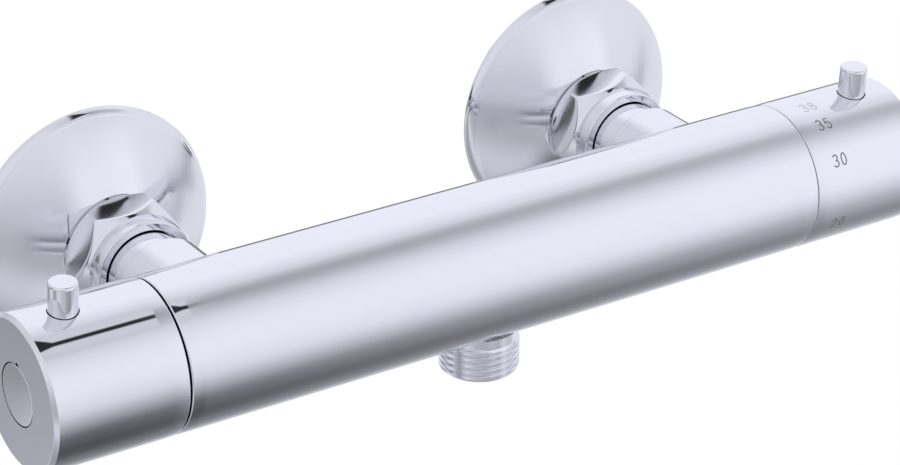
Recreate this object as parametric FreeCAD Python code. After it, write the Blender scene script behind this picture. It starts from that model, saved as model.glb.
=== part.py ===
import FreeCAD, Part
import math
import os

# Exposed thermostatic bar shower valve. Millimetres, +Z up, +Y into the wall, +X to the user's right.
# The origin is on the wall plane, half way between the two inlets.
# The bar's axis runs along X in front of it.
os.makedirs("parts", exist_ok=True)
Vector = FreeCAD.Vector

# Bar body
inlet_centres = 150.0          # between the two inlet axes
body_overhang = 20.0           # of the bar past each inlet axis
bar_radius = 20.0
edge_round = 0.4               # on the bar's and the handles' outer edges at the seams

# Clearances
thread_gap = 0.05              # radial, between plain stand-ins for mating threads
fit_gap = 0.05                 # radial, for turning and sliding fits
film_gap = 0.03                # between lapped ceramic faces
touch_gap = 0.1                # axial play of captive pieces
cut_margin = 1.0               # that a cutting shape reaches past the surface it cuts
corner_share = 1.0 - math.sqrt(0.5)   # of its radius, from a corner to the middle of its quarter round

# Waterways inside the bar
chamber_step = 0.95            # in radius, from the cartridge's nose down to the mixed water's chamber
channel_radius = 3.0           # cored side channels
hot_channel_wall = 2.0         # of metal outside the channel on the wall's side
outlet_channel_wall = 2.4      # of metal outside the channel below
drilling_radius = 6.5          # inlet drillings
waterway_wall = 2.0            # least metal left between the outlet bore and the chamber

# Inlet boss and its screwed-in tail, measured from the bar's axis towards the wall
boss_radius = 12.9
boss_length = 11.5             # past the bar's surface
tail_thread_radius = 10.0
tail_tube_length = 8.5         # bare tube between the boss and the nut
tail_seal_thickness = 1.2
tail_tube_radius = 11.1
tail_bore_radius = 7.5
tail_shoulder_bore = 6.0
tail_shoulder_thickness = 2.3
tail_flange_radius = 11.9
tail_flange_thickness = 2.5
drilling_floor = 1.5           # the hot drilling goes this much past the middle of the hot channel

# Union nut
nut_neck_radius = 13.7
nut_neck_length = 4.0
nut_hex_length = 12.0
nut_across_flats = 29.6
nut_end_radius = 14.2          # round that the hexagon's ends are chamfered down to
nut_chamfer_length = 4.0
nut_lip_thickness = 2.7
nut_lip_gap = 0.35             # round the tail's tube
nut_lip_play = 0.3             # between the lip and the tail's flange
nut_thread_relief = 0.5        # between the tail's end and the nut's thread
nut_edge = 0.5
nut_turns = {"left": 6.0, "right": 12.0}   # degrees, as tightened

# Union washer and strainer
washer_thickness = 2.0
washer_hole_radius = 8.0
strainer_thickness = 0.8
strainer_hole_radius = 0.7
strainer_pitch = 2.3

# Check valve cartridge in the tail
check_setback = 1.0            # from the tail's end
check_wall = 1.25
check_guide_thickness = 2.5
check_seat_thickness = 2.5
check_seat_depth = 2.0         # of the entry in front of the seat
check_seat_radius = 4.2
check_slot_count = 4
check_slot_width = 2.0
check_slot_rib = 1.0           # left inside and outside the guide's slots
check_spring_radius = 2.6
check_spring_wire = 0.3
check_spring_turns = 5.0
poppet_radius = 5.2
poppet_bevel = 0.8
poppet_thickness = 2.0
poppet_gap = 0.3               # to its seat when shut
poppet_stem_radius = 1.3
poppet_stem_gap = 0.08
poppet_travel = 2.5            # until its back meets the guide's sleeve
poppet_sleeve_wall = 0.6
poppet_tail_clear = 0.5        # stem end inside the guide when shut

# Eccentric wall union
pipe_pitch = 1.814             # pipe thread, 14 turns to the inch
valve_thread_radius = 13.22    # 3/4 inch pipe thread
wall_thread_radius = 10.48     # 1/2 inch pipe thread
thread_depth = 0.9
union_offset = 7.5             # the wall thread stands this much higher than the valve thread
union_collar_radius = 16.2
union_collar_thickness = 4.0
union_collar_setback = 1.0     # collar's back face in front of the wall plane
union_relief_length = 2.0
union_wall_thread_length = 12.0
union_valve_bore = 8.0
union_wall_bore = 7.0

# Wall escutcheon
escutcheon_radius = 34.0
escutcheon_depth = 13.4
escutcheon_rim_depth = 2.7
escutcheon_rim_inset = 1.8     # of the rim's front edge, from the radius at the wall
escutcheon_crown_radius = 14.6
escutcheon_nut_gap = 0.6
escutcheon_bulge = 1.0
escutcheon_wall = 1.2
escutcheon_hub_length = 5.4
escutcheon_hub_wall = 2.2
escutcheon_rim_wall = 1.45
escutcheon_seal_gap = 0.3      # inside the shell's rim
escutcheon_seal_width = 3.5
escutcheon_seal_thickness = 1.6

# Outlet
outlet_thread_gap = 0.4        # between the bar and the first thread
outlet_thread_length = 9.6
outlet_plain_radius = 10.2
outlet_bore_radius = 7.0
outlet_seal_thickness = 1.6
outlet_socket_depth = 6.0
outlet_chamfer = 0.8

# Handles
handle_length = 36.3           # from the end of the bar
handle_wall = 2.6
handle_end_wall = 4.0
handle_end_bevel = 1.0
hub_radius = 10.2
hub_web = 2.0
socket_depth = 12.0
socket_across_flats = 13.0
socket_gap = 0.05
cap_recess_radius = 8.1
cap_recess_depth = 4.7
cap_radius = 7.8
cap_thickness = 1.4
cap_dome = 0.25
cap_edge = 0.2
cap_skirt_step = 0.4
cap_skirt_wall = 1.2
cap_notch_radius = 0.8
cap_notch_depth = 1.0
seam_gaps = {"flow": 0.5, "temperature": 0.3}

# Spring-loaded stop button in each handle
button_inset = 12.1            # from the handle's end
button_angle = 5.0             # from the top towards the front
button_radius = 3.7
button_hole_radius = 3.95
button_height = 8.0            # proud of the handle
button_edge = 0.7
button_flange_radius = 5.2
button_flange_thickness = 1.5
button_flange_gap = 0.3        # under the handle's wall
button_travel = 2.0            # until its stem meets the handle's hub
button_stem_radius = 1.9
button_spring_radius = 2.6
button_spring_wire = 0.35
button_spring_turns = 2.0

# Spindles and handle screws
spline_radius = 4.0
spline_count = 20
spline_groove = 0.3
spindle_end_gap = 0.3
adapter_end_gap = 0.1
adapter_start_gap = 0.4
screw_radius = 1.95
screw_hole_radius = 2.2
screw_length = 10.0
screw_head_radius = 3.6
screw_head_height = 2.3
screw_socket_flats = 2.5
screw_pitch = 0.7
screw_thread_depth = 0.35
screw_socket_depth = 1.4
screw_hole_spare = 1.0         # past the screw's end

# Flow cartridge, in the left end of the bar
flow_cartridge_depth = 37.0    # from the end of the bar to the seat
flow_seat_wall = 4.0
flow_port_radius = 6.0
flow_bay_radius = 10.0
flow_thread_length = 11.5
flow_nose_radius = 8.0
flow_nose_bore = 6.9
flow_seal_thickness = 1.4
flow_seal_hole = 4.6
disc_thickness = 2.6
disc_port_radius = 5.0
disc_port_inner = 2.2
disc_port_angle = 80.0         # of each of the two openings through a disc
disc_key_width = 2.0           # stops the fixed disc turning in the cartridge
disc_key_depth = 0.8
flow_window_inset = 11.0       # from the seat
flow_window_length = 6.0
flow_window_width = 6.0
flow_guide_inset = 20.0        # from the seat
flow_spindle_radius = 3.95
flow_wet_radius = 3.0
driver_thickness = 2.0
driver_width = 3.0
driver_depth = 0.8             # into the moving disc's slot
driver_end_gap = 0.4           # to the cartridge's bore
flow_flange_radius = 13.5
flow_flange_thickness = 1.5
flow_hex_flats = 19.0
flow_hex_length = 3.5
body_seal_thickness = 1.6
body_seal_radius = 12.5
clip_thickness = 0.8
clip_radius = 6.0
clip_groove_radius = 3.1
clip_opening = 4.4
oring_section = 0.6
oring_side_gap = 0.1
flow_oring_inset = 6.0         # from the guide's start

# Thermostat cartridge, in the right end of the bar
nut_thread_step = 0.95         # in radius, from the cartridge's bay up to the nut's thread
nut_thread_length = 7.0
nut_thread_pitch = 1.5
nut_thread_depth = 0.8
thermostat_hex_length = 6.0
bay_wall = 4.0                 # of the bar round the cartridge
housing_length = 41.4          # the wide part, without its nose
housing_wall = 3.5
housing_floor = 2.0
housing_nut_gap = 0.5
nose_wall = 2.35
nose_length = 15.6
nose_ledge = 0.3               # under the return spring, between its coil and the nose's bore
nose_end_gap = 0.5
port_count = 6
port_width = 5.0
hot_port_inset = 4.4           # from the housing's shoulder
hot_port_length = 4.5
cold_port_gap = 1.5            # past the cold seat
cold_port_length = 7.0
hot_seat_inset = 10.6          # from the housing's shoulder
hot_seat_thickness = 1.4
seat_height = 1.85             # of both seats, off the housing's bore
cold_seat_thickness = 2.0
piston_length = 9.2
piston_wall = 2.0
piston_hot_gap = 0.7           # to the hot seat at the 38 degree setting
piston_cold_gap = 0.4          # to the cold seat at the 38 degree setting
piston_web_inset = 2.6
piston_web_thickness = 2.5
piston_window_margin = 0.8     # between a window and the rim, or the bulb's flange
piston_window_count = 8
bulb_radius = 4.5
bulb_length = 13.0             # in front of the piston's web
bulb_chamfer = 1.0
bulb_flange_radius = 5.6
bulb_flange_thickness = 1.2
bulb_back_length = 4.0         # behind the front of the web
wax_pin_radius = 1.4
return_spring_gap = 1.1        # to the piston's rim
return_spring_wire = 0.7
return_spring_turns = 4.0
adjuster_inset = 2.5           # past the cold seat's face
adjuster_collar_gap = 0.5
adjuster_radius = 9.0
adjuster_cavity_radius = 7.5
adjuster_cavity_depth = 6.5
adjuster_key_width = 3.0
adjuster_key_length = 6.0
adjuster_key_height = 0.7      # into the housing's wall
adjuster_slot_depth = 1.0      # of the housing's key slots
temperature_thread_radius = 5.0
temperature_thread_pitch = 1.5
temperature_thread_depth = 0.6
temperature_thread_gap = 0.8   # from the adjuster's cavity to the first thread
plunger_thickness = 1.5
overload_spring_radius = 5.2
overload_spring_wire = 0.8
overload_spring_turns = 1.6
collar_radius = 7.5
collar_thickness = 1.4
temperature_shaft_radius = 6.0
thermostat_oring_section = 1.0
nose_oring_section = 0.8
divider_oring_inset = 5.3      # past the hot seat's face
outer_oring_inset = 3.5        # from the housing's end
nose_oring_inset = 7.5         # from the nose's end

# Stop rings round the cartridge hexagons, inside the handles
stop_ring_gap = 0.4            # under the handle's wall
stop_ring_wall = 2.4
stop_ring_corner_wall = 1.4    # over the corners of the thermostat's hexagon
stop_ring_button_gap = 1.4     # along the bar, to the button's flange
stop_lug_length = 4.4
stop_lug_margin = 2.0          # degrees left between the button's flange and the lug at a limit
flow_range = (0.0, 90.0)
temperature_range = (-115.0, 50.0)


# Places along the bar, from its middle outwards
body_end = inlet_centres / 2.0 + body_overhang
handle_end = body_end + handle_length
handle_bore = bar_radius - handle_wall
cap_floor = handle_end - cap_recess_depth
socket_end = cap_floor - hub_web
hub_start = socket_end - socket_depth
spindle_end = socket_end - spindle_end_gap
button_place = handle_end - button_inset
stop_ring_end = button_place - button_flange_radius - stop_ring_button_gap
stop_ring_radius = handle_bore - stop_ring_gap
thermostat_hex_flats = 2.0 * (stop_ring_radius - stop_ring_corner_wall) * math.cos(math.pi / 6.0)
flow_seat = body_end - flow_cartridge_depth
flow_disc_start = flow_seat + flow_seal_thickness
flow_driver_start = flow_disc_start + 2.0 * disc_thickness + 2.0 * film_gap
flow_window_start = flow_seat + flow_window_inset
flow_guide_start = flow_seat + flow_guide_inset
flow_thread_start = body_end - flow_thread_length
flow_hex_start = body_end + flow_flange_thickness
flow_hex_end = flow_hex_start + flow_hex_length
thermostat_nut_start = body_end - nut_thread_length
thermostat_hex_end = body_end + thermostat_hex_length
housing_end = thermostat_nut_start - housing_nut_gap
shoulder = housing_end - housing_length
bay_start = shoulder - touch_gap
nose_start = shoulder - nose_length
hot_port_start = shoulder + hot_port_inset
hot_seat_face = shoulder + hot_seat_inset
piston_start = hot_seat_face + piston_hot_gap
piston_end = piston_start + piston_length
web_start = piston_start + piston_web_inset
cold_seat_face = piston_end + piston_cold_gap
cold_port_start = cold_seat_face + cold_seat_thickness + cold_port_gap
collar_end = thermostat_nut_start - touch_gap
collar_start = collar_end - collar_thickness
adjuster_start = cold_seat_face + adjuster_inset
adjuster_end = collar_start - adjuster_collar_gap
divider_oring = hot_seat_face + divider_oring_inset
outer_oring = housing_end - outer_oring_inset
nose_oring = nose_start + nose_oring_inset

# Radii inside the bar, from its surface inwards
bay_radius = bar_radius - bay_wall
nut_thread_radius = bay_radius + nut_thread_step
housing_bore = bay_radius - fit_gap - housing_wall
seat_inner_radius = housing_bore - seat_height
piston_radius = housing_bore - fit_gap
piston_rim = piston_radius - piston_wall
piston_window_radius = (piston_rim - bulb_flange_radius) / 2.0 - piston_window_margin
return_spring_radius = piston_rim - return_spring_gap - return_spring_wire
nose_bore = return_spring_radius - return_spring_wire - nose_ledge
nose_radius = nose_bore + nose_wall
chamber_radius = nose_radius - chamber_step
hot_channel_offset = bar_radius - hot_channel_wall - channel_radius
outlet_channel_offset = bar_radius - outlet_channel_wall - channel_radius

# Places behind the bar's axis, towards the wall
boss_end = bar_radius + boss_length
tail_seat = bar_radius + tail_seal_thickness
nut_front = boss_end + tail_tube_length
tail_flange_start = nut_front + nut_lip_thickness + nut_lip_play
tail_end = tail_flange_start + tail_flange_thickness
nut_hex_start = nut_front + nut_neck_length
nut_end = nut_hex_start + nut_hex_length
union_front = tail_end + washer_thickness
check_start = tail_seat + tail_shoulder_thickness
check_end = tail_end - check_setback
escutcheon_front = nut_end + escutcheon_nut_gap
wall = escutcheon_front + escutcheon_depth
hub_end = escutcheon_front + escutcheon_hub_length
union_collar_end = wall - union_collar_setback
union_collar_start = union_collar_end - union_collar_thickness

# Places below the bar's axis
outlet_floor = bar_radius - outlet_socket_depth
outlet_seat = outlet_floor + outlet_seal_thickness
outlet_plain_end = bar_radius + outlet_thread_gap
outlet_end = outlet_plain_end + outlet_thread_length


class Axis:
    """A line that round pieces are turned about: its start, its direction, and one direction across it."""

    def __init__(self, start, along, across):
        self.start, self.along, self.across = start, along, across
        self.third = along.cross(across)

    def point(self, distance, radius=0.0, degrees=0.0):
        turn = math.radians(degrees)
        sideways = self.across * (radius * math.cos(turn)) + self.third * (radius * math.sin(turn))
        return self.start + self.along * distance + sideways


bar_centre = Vector(0, -wall, 0)
left_axis = Axis(bar_centre, Vector(-1, 0, 0), Vector(0, 0, 1))
right_axis = Axis(bar_centre, Vector(1, 0, 0), Vector(0, 0, 1))
outlet_axis = Axis(bar_centre, Vector(0, 0, -1), Vector(1, 0, 0))
sides = {"left": -1.0, "right": 1.0}
inlet_axes = {side: Axis(bar_centre + Vector(sign * inlet_centres / 2.0, 0, 0),
                         Vector(0, 1, 0), Vector(1, 0, 0))
              for side, sign in sides.items()}


def turned(axis, outline):
    """A solid of revolution. The outline is (distance, radius) points; a pair is an arc: middle, end."""
    edges = []
    last = outline[0]
    for step in list(outline[1:]) + [outline[0]]:
        if isinstance(step[0], tuple):
            middle, end = step
            edges.append(Part.Arc(axis.point(*last), axis.point(*middle), axis.point(*end)).toShape())
            last = end
        else:
            edges.append(Part.LineSegment(axis.point(*last), axis.point(*step)).toShape())
            last = step
    return Part.Face(Part.Wire(edges)).revolve(axis.start, axis.along, 360)


def rod(axis, start, end, radius):
    return Part.makeCylinder(radius, end - start, axis.point(start), axis.along)


def tube(axis, start, end, outer, inner):
    return rod(axis, start, end, outer).cut(rod(axis, start, end, inner))


def prism(axis, start, end, across_flats, sides_count=6, turn=0.0):
    """A bar of regular section; turn is the angle of its first corner."""
    corner = across_flats / 2.0 / math.cos(math.pi / sides_count)
    points = [axis.point(start, corner, turn + 360.0 * i / sides_count) for i in range(sides_count)]
    return Part.Face(Part.makePolygon(points + points[:1])).extrude(axis.along * (end - start))


def block(axis, start, end, across, width, degrees=0.0, inner=None):
    """A bar from start to end that reaches from inner to across, width wide, one way off the axis."""
    inner = -across if inner is None else inner
    half = width / 2.0
    turn = math.radians(degrees)
    out = axis.across * math.cos(turn) + axis.third * math.sin(turn)
    side = axis.along.cross(out)
    base = axis.start + axis.along * start
    corners = [base + out * inner - side * half, base + out * across - side * half,
               base + out * across + side * half, base + out * inner + side * half]
    return Part.Face(Part.makePolygon(corners + corners[:1])).extrude(axis.along * (end - start))


def sector(axis, start, end, inner, outer, middle, span):
    """Part of a ring, span degrees wide about the angle middle."""
    points = [axis.point(start, inner, middle - span / 2.0), axis.point(start, outer, middle - span / 2.0),
              axis.point(end, outer, middle - span / 2.0), axis.point(end, inner, middle - span / 2.0)]
    return Part.Face(Part.makePolygon(points + points[:1])).revolve(axis.start, axis.along, span)


def threaded(axis, start, end, radius, pitch, depth, chamfer=0.0):
    """A rod with V grooves at the thread's pitch; the crests between them are flat at the stated radius."""
    crest = pitch * 0.2
    groove = pitch - crest
    count = int((end - start - crest - chamfer) / pitch)
    first = start + crest
    outline = [(start, 0.0), (start, radius)]
    for i in range(count):
        left = first + i * pitch
        outline += [(left, radius), (left + groove / 2.0, radius - depth), (left + groove, radius)]
    outline += [(end - chamfer, radius), (end, radius - chamfer), (end, 0.0)]
    cleaned = [outline[0]]
    for place in outline[1:]:
        if math.dist(place, cleaned[-1]) > 1e-6:
            cleaned.append(place)
    return turned(axis, cleaned)


def spring(axis, start, end, radius, wire, turns):
    """A round-wire coil spring whose wire stays between start and end."""
    length = end - start - 2.0 * wire
    helix = Part.makeHelix(length / turns, length, radius)
    section = Part.Wire(Part.makeCircle(wire, Vector(radius, 0, 0), Vector(0, 1, 0)))
    coil = Part.Wire(helix.Edges).makePipeShell([section], True, True)
    turn = FreeCAD.Rotation(Vector(0, 0, 1), axis.along)
    coil.Placement = FreeCAD.Placement(axis.point(start + wire), turn)
    return coil


def ring_seal(axis, place, inner, section):
    """An O-ring whose hole has the stated radius."""
    return Part.makeTorus(inner + section, section, axis.point(place), axis.along)


def around(axis, shape, count, first=0.0):
    """Copies of a shape at equal angles about the axis, fused."""
    copies = []
    for i in range(count):
        copy = shape.copy()
        copy.rotate(axis.start, axis.along, first + 360.0 * i / count)
        copies.append(copy)
    return copies[0].multiFuse(copies[1:]) if count > 1 else copies[0]


def save(name, shape):
    shape.exportStep("parts/%s.step" % name)


def valve_body():
    body = rod(left_axis, -body_end, body_end, bar_radius)
    rims = [edge for edge in body.Edges if isinstance(edge.Curve, Part.Circle)]
    body = body.makeFillet(edge_round, rims)
    for axis in inlet_axes.values():
        body = body.fuse(rod(axis, 0, boss_end, boss_radius))
    cuts = [rod(right_axis, -flow_seat + flow_seat_wall, nose_start, chamber_radius),
            rod(left_axis, 0, flow_seat, flow_port_radius),
            rod(left_axis, flow_seat, body_end, flow_bay_radius),
            rod(left_axis, flow_thread_start, body_end, wall_thread_radius + thread_gap),
            rod(left_axis, body_end - body_seal_thickness, body_end, body_seal_radius + fit_gap),
            rod(right_axis, nose_start - nose_end_gap, bay_start, nose_radius + fit_gap),
            rod(right_axis, bay_start, body_end, bay_radius),
            rod(right_axis, housing_end, body_end, nut_thread_radius + thread_gap)]
    hot_line = Axis(bar_centre + Vector(0, hot_channel_offset, 0), Vector(1, 0, 0), Vector(0, 0, 1))
    cuts.append(rod(hot_line, -inlet_centres / 2.0, hot_port_start + hot_port_length, channel_radius))
    outlet_line = Axis(bar_centre - Vector(0, 0, outlet_channel_offset), Vector(-1, 0, 0), Vector(0, 0, 1))
    window_middle = flow_window_start + flow_window_length / 2.0
    cuts.append(rod(outlet_line, 0, window_middle, channel_radius))
    window_drop = Axis(bar_centre - Vector(window_middle, 0, 0), Vector(0, 0, -1), Vector(1, 0, 0))
    cuts.append(rod(window_drop, flow_nose_radius, outlet_channel_offset, channel_radius))
    cuts.append(rod(outlet_axis, chamber_radius + waterway_wall, outlet_end, outlet_bore_radius))
    cuts.append(rod(outlet_axis, outlet_floor, outlet_end, outlet_plain_radius + thread_gap))
    for side, axis in inlet_axes.items():
        depth = hot_channel_offset - drilling_floor if side == "left" else bay_radius - drilling_radius / 2.0
        cuts.append(rod(axis, depth, boss_end, drilling_radius))
        cuts.append(rod(axis, bar_radius, boss_end, tail_thread_radius + thread_gap))
    return body.cut(cuts[0].multiFuse(cuts[1:])).removeSplitter()


def inlet_pieces(side):
    axis = inlet_axes[side]
    save("inlet_tail_seal_" + side, tube(axis, bar_radius, tail_seat, tail_thread_radius, drilling_radius))
    tail = turned(axis, [(tail_seat, tail_shoulder_bore), (tail_seat, tail_thread_radius),
                         (boss_end, tail_thread_radius), (boss_end, tail_tube_radius),
                         (tail_flange_start, tail_tube_radius), (tail_flange_start, tail_flange_radius),
                         (tail_end, tail_flange_radius), (tail_end, tail_bore_radius),
                         (check_start, tail_bore_radius), (check_start, tail_shoulder_bore)])
    save("inlet_tail_" + side, tail)
    save("union_nut_" + side, union_nut(axis, nut_turns[side]))
    save("union_washer_" + side, tube(axis, tail_end, union_front, tail_flange_radius, washer_hole_radius))
    save("inlet_strainer_" + side, strainer(axis))
    check_valve(axis, side)
    save("s_union_" + side, wall_union(axis))
    escutcheon(axis, side)


def union_nut(axis, turn):
    hexagon = prism(axis, nut_hex_start, nut_end, nut_across_flats, turn=turn)
    corner = nut_across_flats / 2.0 / math.cos(math.pi / 6.0)
    reach = corner + cut_margin
    run = nut_chamfer_length * (reach - nut_end_radius) / (corner - nut_end_radius)
    envelope = turned(axis, [(nut_hex_start, 0.0), (nut_hex_start, nut_end_radius),
                             (nut_hex_start + run, reach),
                             (nut_end - run, reach), (nut_end, nut_end_radius), (nut_end, 0.0)])
    neck = turned(axis, [(nut_front, 0.0), (nut_front, nut_neck_radius - nut_edge),
                         (nut_front + nut_edge, nut_neck_radius), (nut_hex_start + nut_edge, nut_neck_radius),
                         (nut_hex_start + nut_edge, 0.0)])
    nut = hexagon.common(envelope).fuse(neck).removeSplitter()
    lip_radius = tail_tube_radius + nut_lip_gap
    lip_end = nut_front + nut_lip_thickness
    thread_start = tail_end + nut_thread_relief
    thread = valve_thread_radius + thread_gap
    hollow = turned(axis, [(nut_front, 0.0), (nut_front, lip_radius + nut_edge),
                           (nut_front + nut_edge, lip_radius),
                           (lip_end, lip_radius), (lip_end, tail_flange_radius + touch_gap),
                           (thread_start, tail_flange_radius + touch_gap), (thread_start, thread),
                           (nut_end, thread), (nut_end, 0.0)])
    return nut.cut(hollow)


def strainer(axis):
    middle = tail_end + washer_thickness / 2.0
    start = middle - strainer_thickness / 2.0
    end = middle + strainer_thickness / 2.0
    disc = rod(axis, start, end, washer_hole_radius - fit_gap)
    holes = []
    rows = int(washer_hole_radius / strainer_pitch)
    for i in range(-rows, rows + 1):
        for j in range(-rows, rows + 1):
            across = (i + 0.5 * (j % 2)) * strainer_pitch
            up = j * strainer_pitch * math.sqrt(3.0) / 2.0
            if math.hypot(across, up) < washer_hole_radius - 2.0 * strainer_hole_radius:
                degrees = math.degrees(math.atan2(up, across))
                place = axis.point(start, math.hypot(across, up), degrees)
                holes.append(Part.makeCylinder(strainer_hole_radius, strainer_thickness, place, axis.along))
    return disc.cut(holes[0].multiFuse(holes[1:]))


def check_valve(axis, side):
    """A sprung plate valve: water from the wall pushes the poppet off its seat towards the bar."""
    outer = tail_bore_radius - fit_gap
    inner = outer - check_wall
    seat = check_end - check_seat_depth - check_seat_thickness
    guide = check_start + check_guide_thickness
    stem_hole = poppet_stem_radius + poppet_stem_gap
    face = seat - poppet_gap
    back = face - poppet_thickness
    sleeve_end = back - poppet_travel
    sleeve = stem_hole + poppet_sleeve_wall
    housing = turned(axis, [(check_start, stem_hole), (check_start, outer), (check_end, outer),
                            (check_end, inner), (check_end - check_seat_depth, inner),
                            (check_end - check_seat_depth, check_seat_radius),
                            (seat, check_seat_radius), (seat, inner), (guide, inner), (guide, sleeve),
                            (sleeve_end, sleeve), (sleeve_end, stem_hole)])
    slot = block(axis, check_start, guide, inner - check_slot_rib, check_slot_width,
                 inner=check_spring_radius + check_slot_rib)
    save("check_valve_housing_" + side, housing.cut(around(axis, slot, check_slot_count, 45.0)))
    tail = check_start + poppet_tail_clear
    poppet = turned(axis, [(tail, 0.0), (tail, poppet_stem_radius), (back, poppet_stem_radius),
                           (back, poppet_radius), (face - poppet_bevel, poppet_radius),
                           (face, poppet_radius - poppet_bevel), (face, 0.0)])
    save("check_valve_poppet_" + side, poppet)
    save("check_valve_spring_" + side, spring(axis, guide, back, check_spring_radius, check_spring_wire,
                                              check_spring_turns))


def wall_union(axis):
    wall_axis = Axis(axis.start + Vector(0, 0, union_offset), axis.along, axis.across)
    low = -valve_thread_radius
    high = union_offset + wall_thread_radius
    collar_axis = Axis(axis.start + Vector(0, 0, (low + high) / 2.0), axis.along, axis.across)
    relief_end = union_collar_end + union_relief_length
    wall_end = relief_end + union_wall_thread_length
    union = threaded(axis, union_front, hub_end, valve_thread_radius, pipe_pitch, thread_depth)
    union = union.fuse(rod(axis, hub_end, union_collar_start, valve_thread_radius - thread_depth))
    union = union.fuse(rod(collar_axis, union_collar_start, union_collar_end, union_collar_radius))
    union = union.fuse(rod(wall_axis, union_collar_end, relief_end, wall_thread_radius - thread_depth))
    wall_thread = threaded(wall_axis, relief_end, wall_end, wall_thread_radius, pipe_pitch, thread_depth)
    union = union.fuse(wall_thread)
    margin = union_collar_thickness / 4.0
    union = union.cut(rod(axis, union_front, union_collar_end - margin, union_valve_bore))
    return union.cut(rod(wall_axis, union_collar_start + margin, wall_end, union_wall_bore)).removeSplitter()


def escutcheon(axis, side):
    """A pressed dome with a turned hub that screws along the wall union's thread to the wall."""
    rim = (wall - escutcheon_rim_depth, escutcheon_radius - escutcheon_rim_inset)
    crown = (escutcheon_front, escutcheon_crown_radius)
    chord = math.dist(rim, crown)
    lean = ((crown[0] - rim[0]) / chord, (crown[1] - rim[1]) / chord)
    out = (lean[1], -lean[0])
    middle = ((rim[0] + crown[0]) / 2.0 + out[0] * escutcheon_bulge,
              (rim[1] + crown[1]) / 2.0 + out[1] * escutcheon_bulge)

    def inward(place):
        return (place[0] - out[0] * escutcheon_wall, place[1] - out[1] * escutcheon_wall)

    thread = valve_thread_radius + thread_gap
    hub = thread + escutcheon_hub_wall
    inner_crown = inward(crown)
    shell = turned(axis, [(wall, escutcheon_radius), rim, (middle, crown), (escutcheon_front, thread),
                          (inner_crown[0], thread), inner_crown, (inward(middle), inward(rim)),
                          (wall, escutcheon_radius - escutcheon_rim_wall)])
    shell = shell.fuse(tube(axis, inner_crown[0] - escutcheon_wall / 4.0, hub_end, hub, thread))
    save("escutcheon_" + side, shell.removeSplitter())
    seal_radius = inward(rim)[1] - escutcheon_seal_gap
    save("escutcheon_seal_" + side, tube(axis, wall - escutcheon_seal_thickness, wall, seal_radius,
                                         seal_radius - escutcheon_seal_width))


def outlet_pieces():
    save("outlet_seal", tube(outlet_axis, outlet_floor, outlet_seat, outlet_plain_radius,
                             outlet_bore_radius))
    plain = rod(outlet_axis, outlet_seat, outlet_plain_end, outlet_plain_radius)
    thread = threaded(outlet_axis, outlet_plain_end, outlet_end, wall_thread_radius, pipe_pitch,
                      thread_depth, outlet_chamfer)
    nipple = plain.fuse(thread).cut(rod(outlet_axis, outlet_seat, outlet_end, outlet_bore_radius))
    save("outlet_nipple", nipple.removeSplitter())


def splined(axis, start, end):
    """A spindle end with V splines all round."""
    groove = prism(Axis(axis.point(0, spline_radius), axis.along, axis.across), start, end,
                   spline_groove * 2.0, sides_count=4)
    return rod(axis, start, end, spline_radius).cut(around(axis, groove, spline_count))


def screw_hole(axis):
    return rod(axis, cap_floor - screw_length - screw_hole_spare, spindle_end, screw_radius + thread_gap)


def handle(axis, seam):
    """A cup over the bar's end: a hub with a hexagon socket inside, a recess for the cap at the end
    and a hole for the button. The recess has a notch to lift the cap by, in line with the button."""
    start = body_end + seam
    inner_end = handle_end - handle_end_wall
    corner = edge_round * corner_share
    shell = turned(axis, [(start, handle_bore), (start, bar_radius - edge_round),
                          ((start + corner, bar_radius - corner), (start + edge_round, bar_radius)),
                          (handle_end - handle_end_bevel, bar_radius),
                          (handle_end, bar_radius - handle_end_bevel),
                          (handle_end, cap_recess_radius), (cap_floor, cap_recess_radius), (cap_floor, 0.0),
                          (hub_start, 0.0), (hub_start, hub_radius), (inner_end, hub_radius),
                          (inner_end, handle_bore)])
    shell = shell.cut(prism(axis, hub_start, socket_end, socket_across_flats))
    shell = shell.cut(rod(axis, socket_end, cap_floor, screw_hole_radius))
    shell = shell.cut(rod(button_line(axis), handle_bore - cut_margin, bar_radius + cut_margin,
                          button_hole_radius))
    notch_place = axis.point(0, cap_recess_radius, button_angle * axis.along.x)
    notch_axis = Axis(notch_place, axis.along, axis.across)
    return shell.cut(rod(notch_axis, handle_end - cap_notch_depth, handle_end, cap_notch_radius))


def button_line(axis):
    """The button's axis: out of the bar's axis, up and a little to the front."""
    lean = math.radians(button_angle)
    out = Vector(0, -math.sin(lean), math.cos(lean))
    return Axis(axis.point(button_place), out, Vector(1, 0, 0))


def stop_button(axis):
    """The button and the place of its flange's foot. Its stem meets the hub at the end of its travel."""
    line = button_line(axis)
    top = bar_radius + button_height
    edge = math.sqrt(handle_bore ** 2 - button_flange_radius ** 2)
    flange_top = edge - button_flange_gap
    flange_foot = flange_top - button_flange_thickness
    stem_foot = hub_radius + button_travel + touch_gap
    corner = button_edge * corner_share
    button = turned(line, [(stem_foot, 0.0), (stem_foot, button_stem_radius),
                           (flange_foot, button_stem_radius),
                           (flange_foot, button_flange_radius), (flange_top, button_flange_radius),
                           (flange_top, button_radius), (top - button_edge, button_radius),
                           ((top - corner, button_radius - corner), (top, button_radius - button_edge)),
                           (top, 0.0)])
    return button, flange_foot


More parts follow.
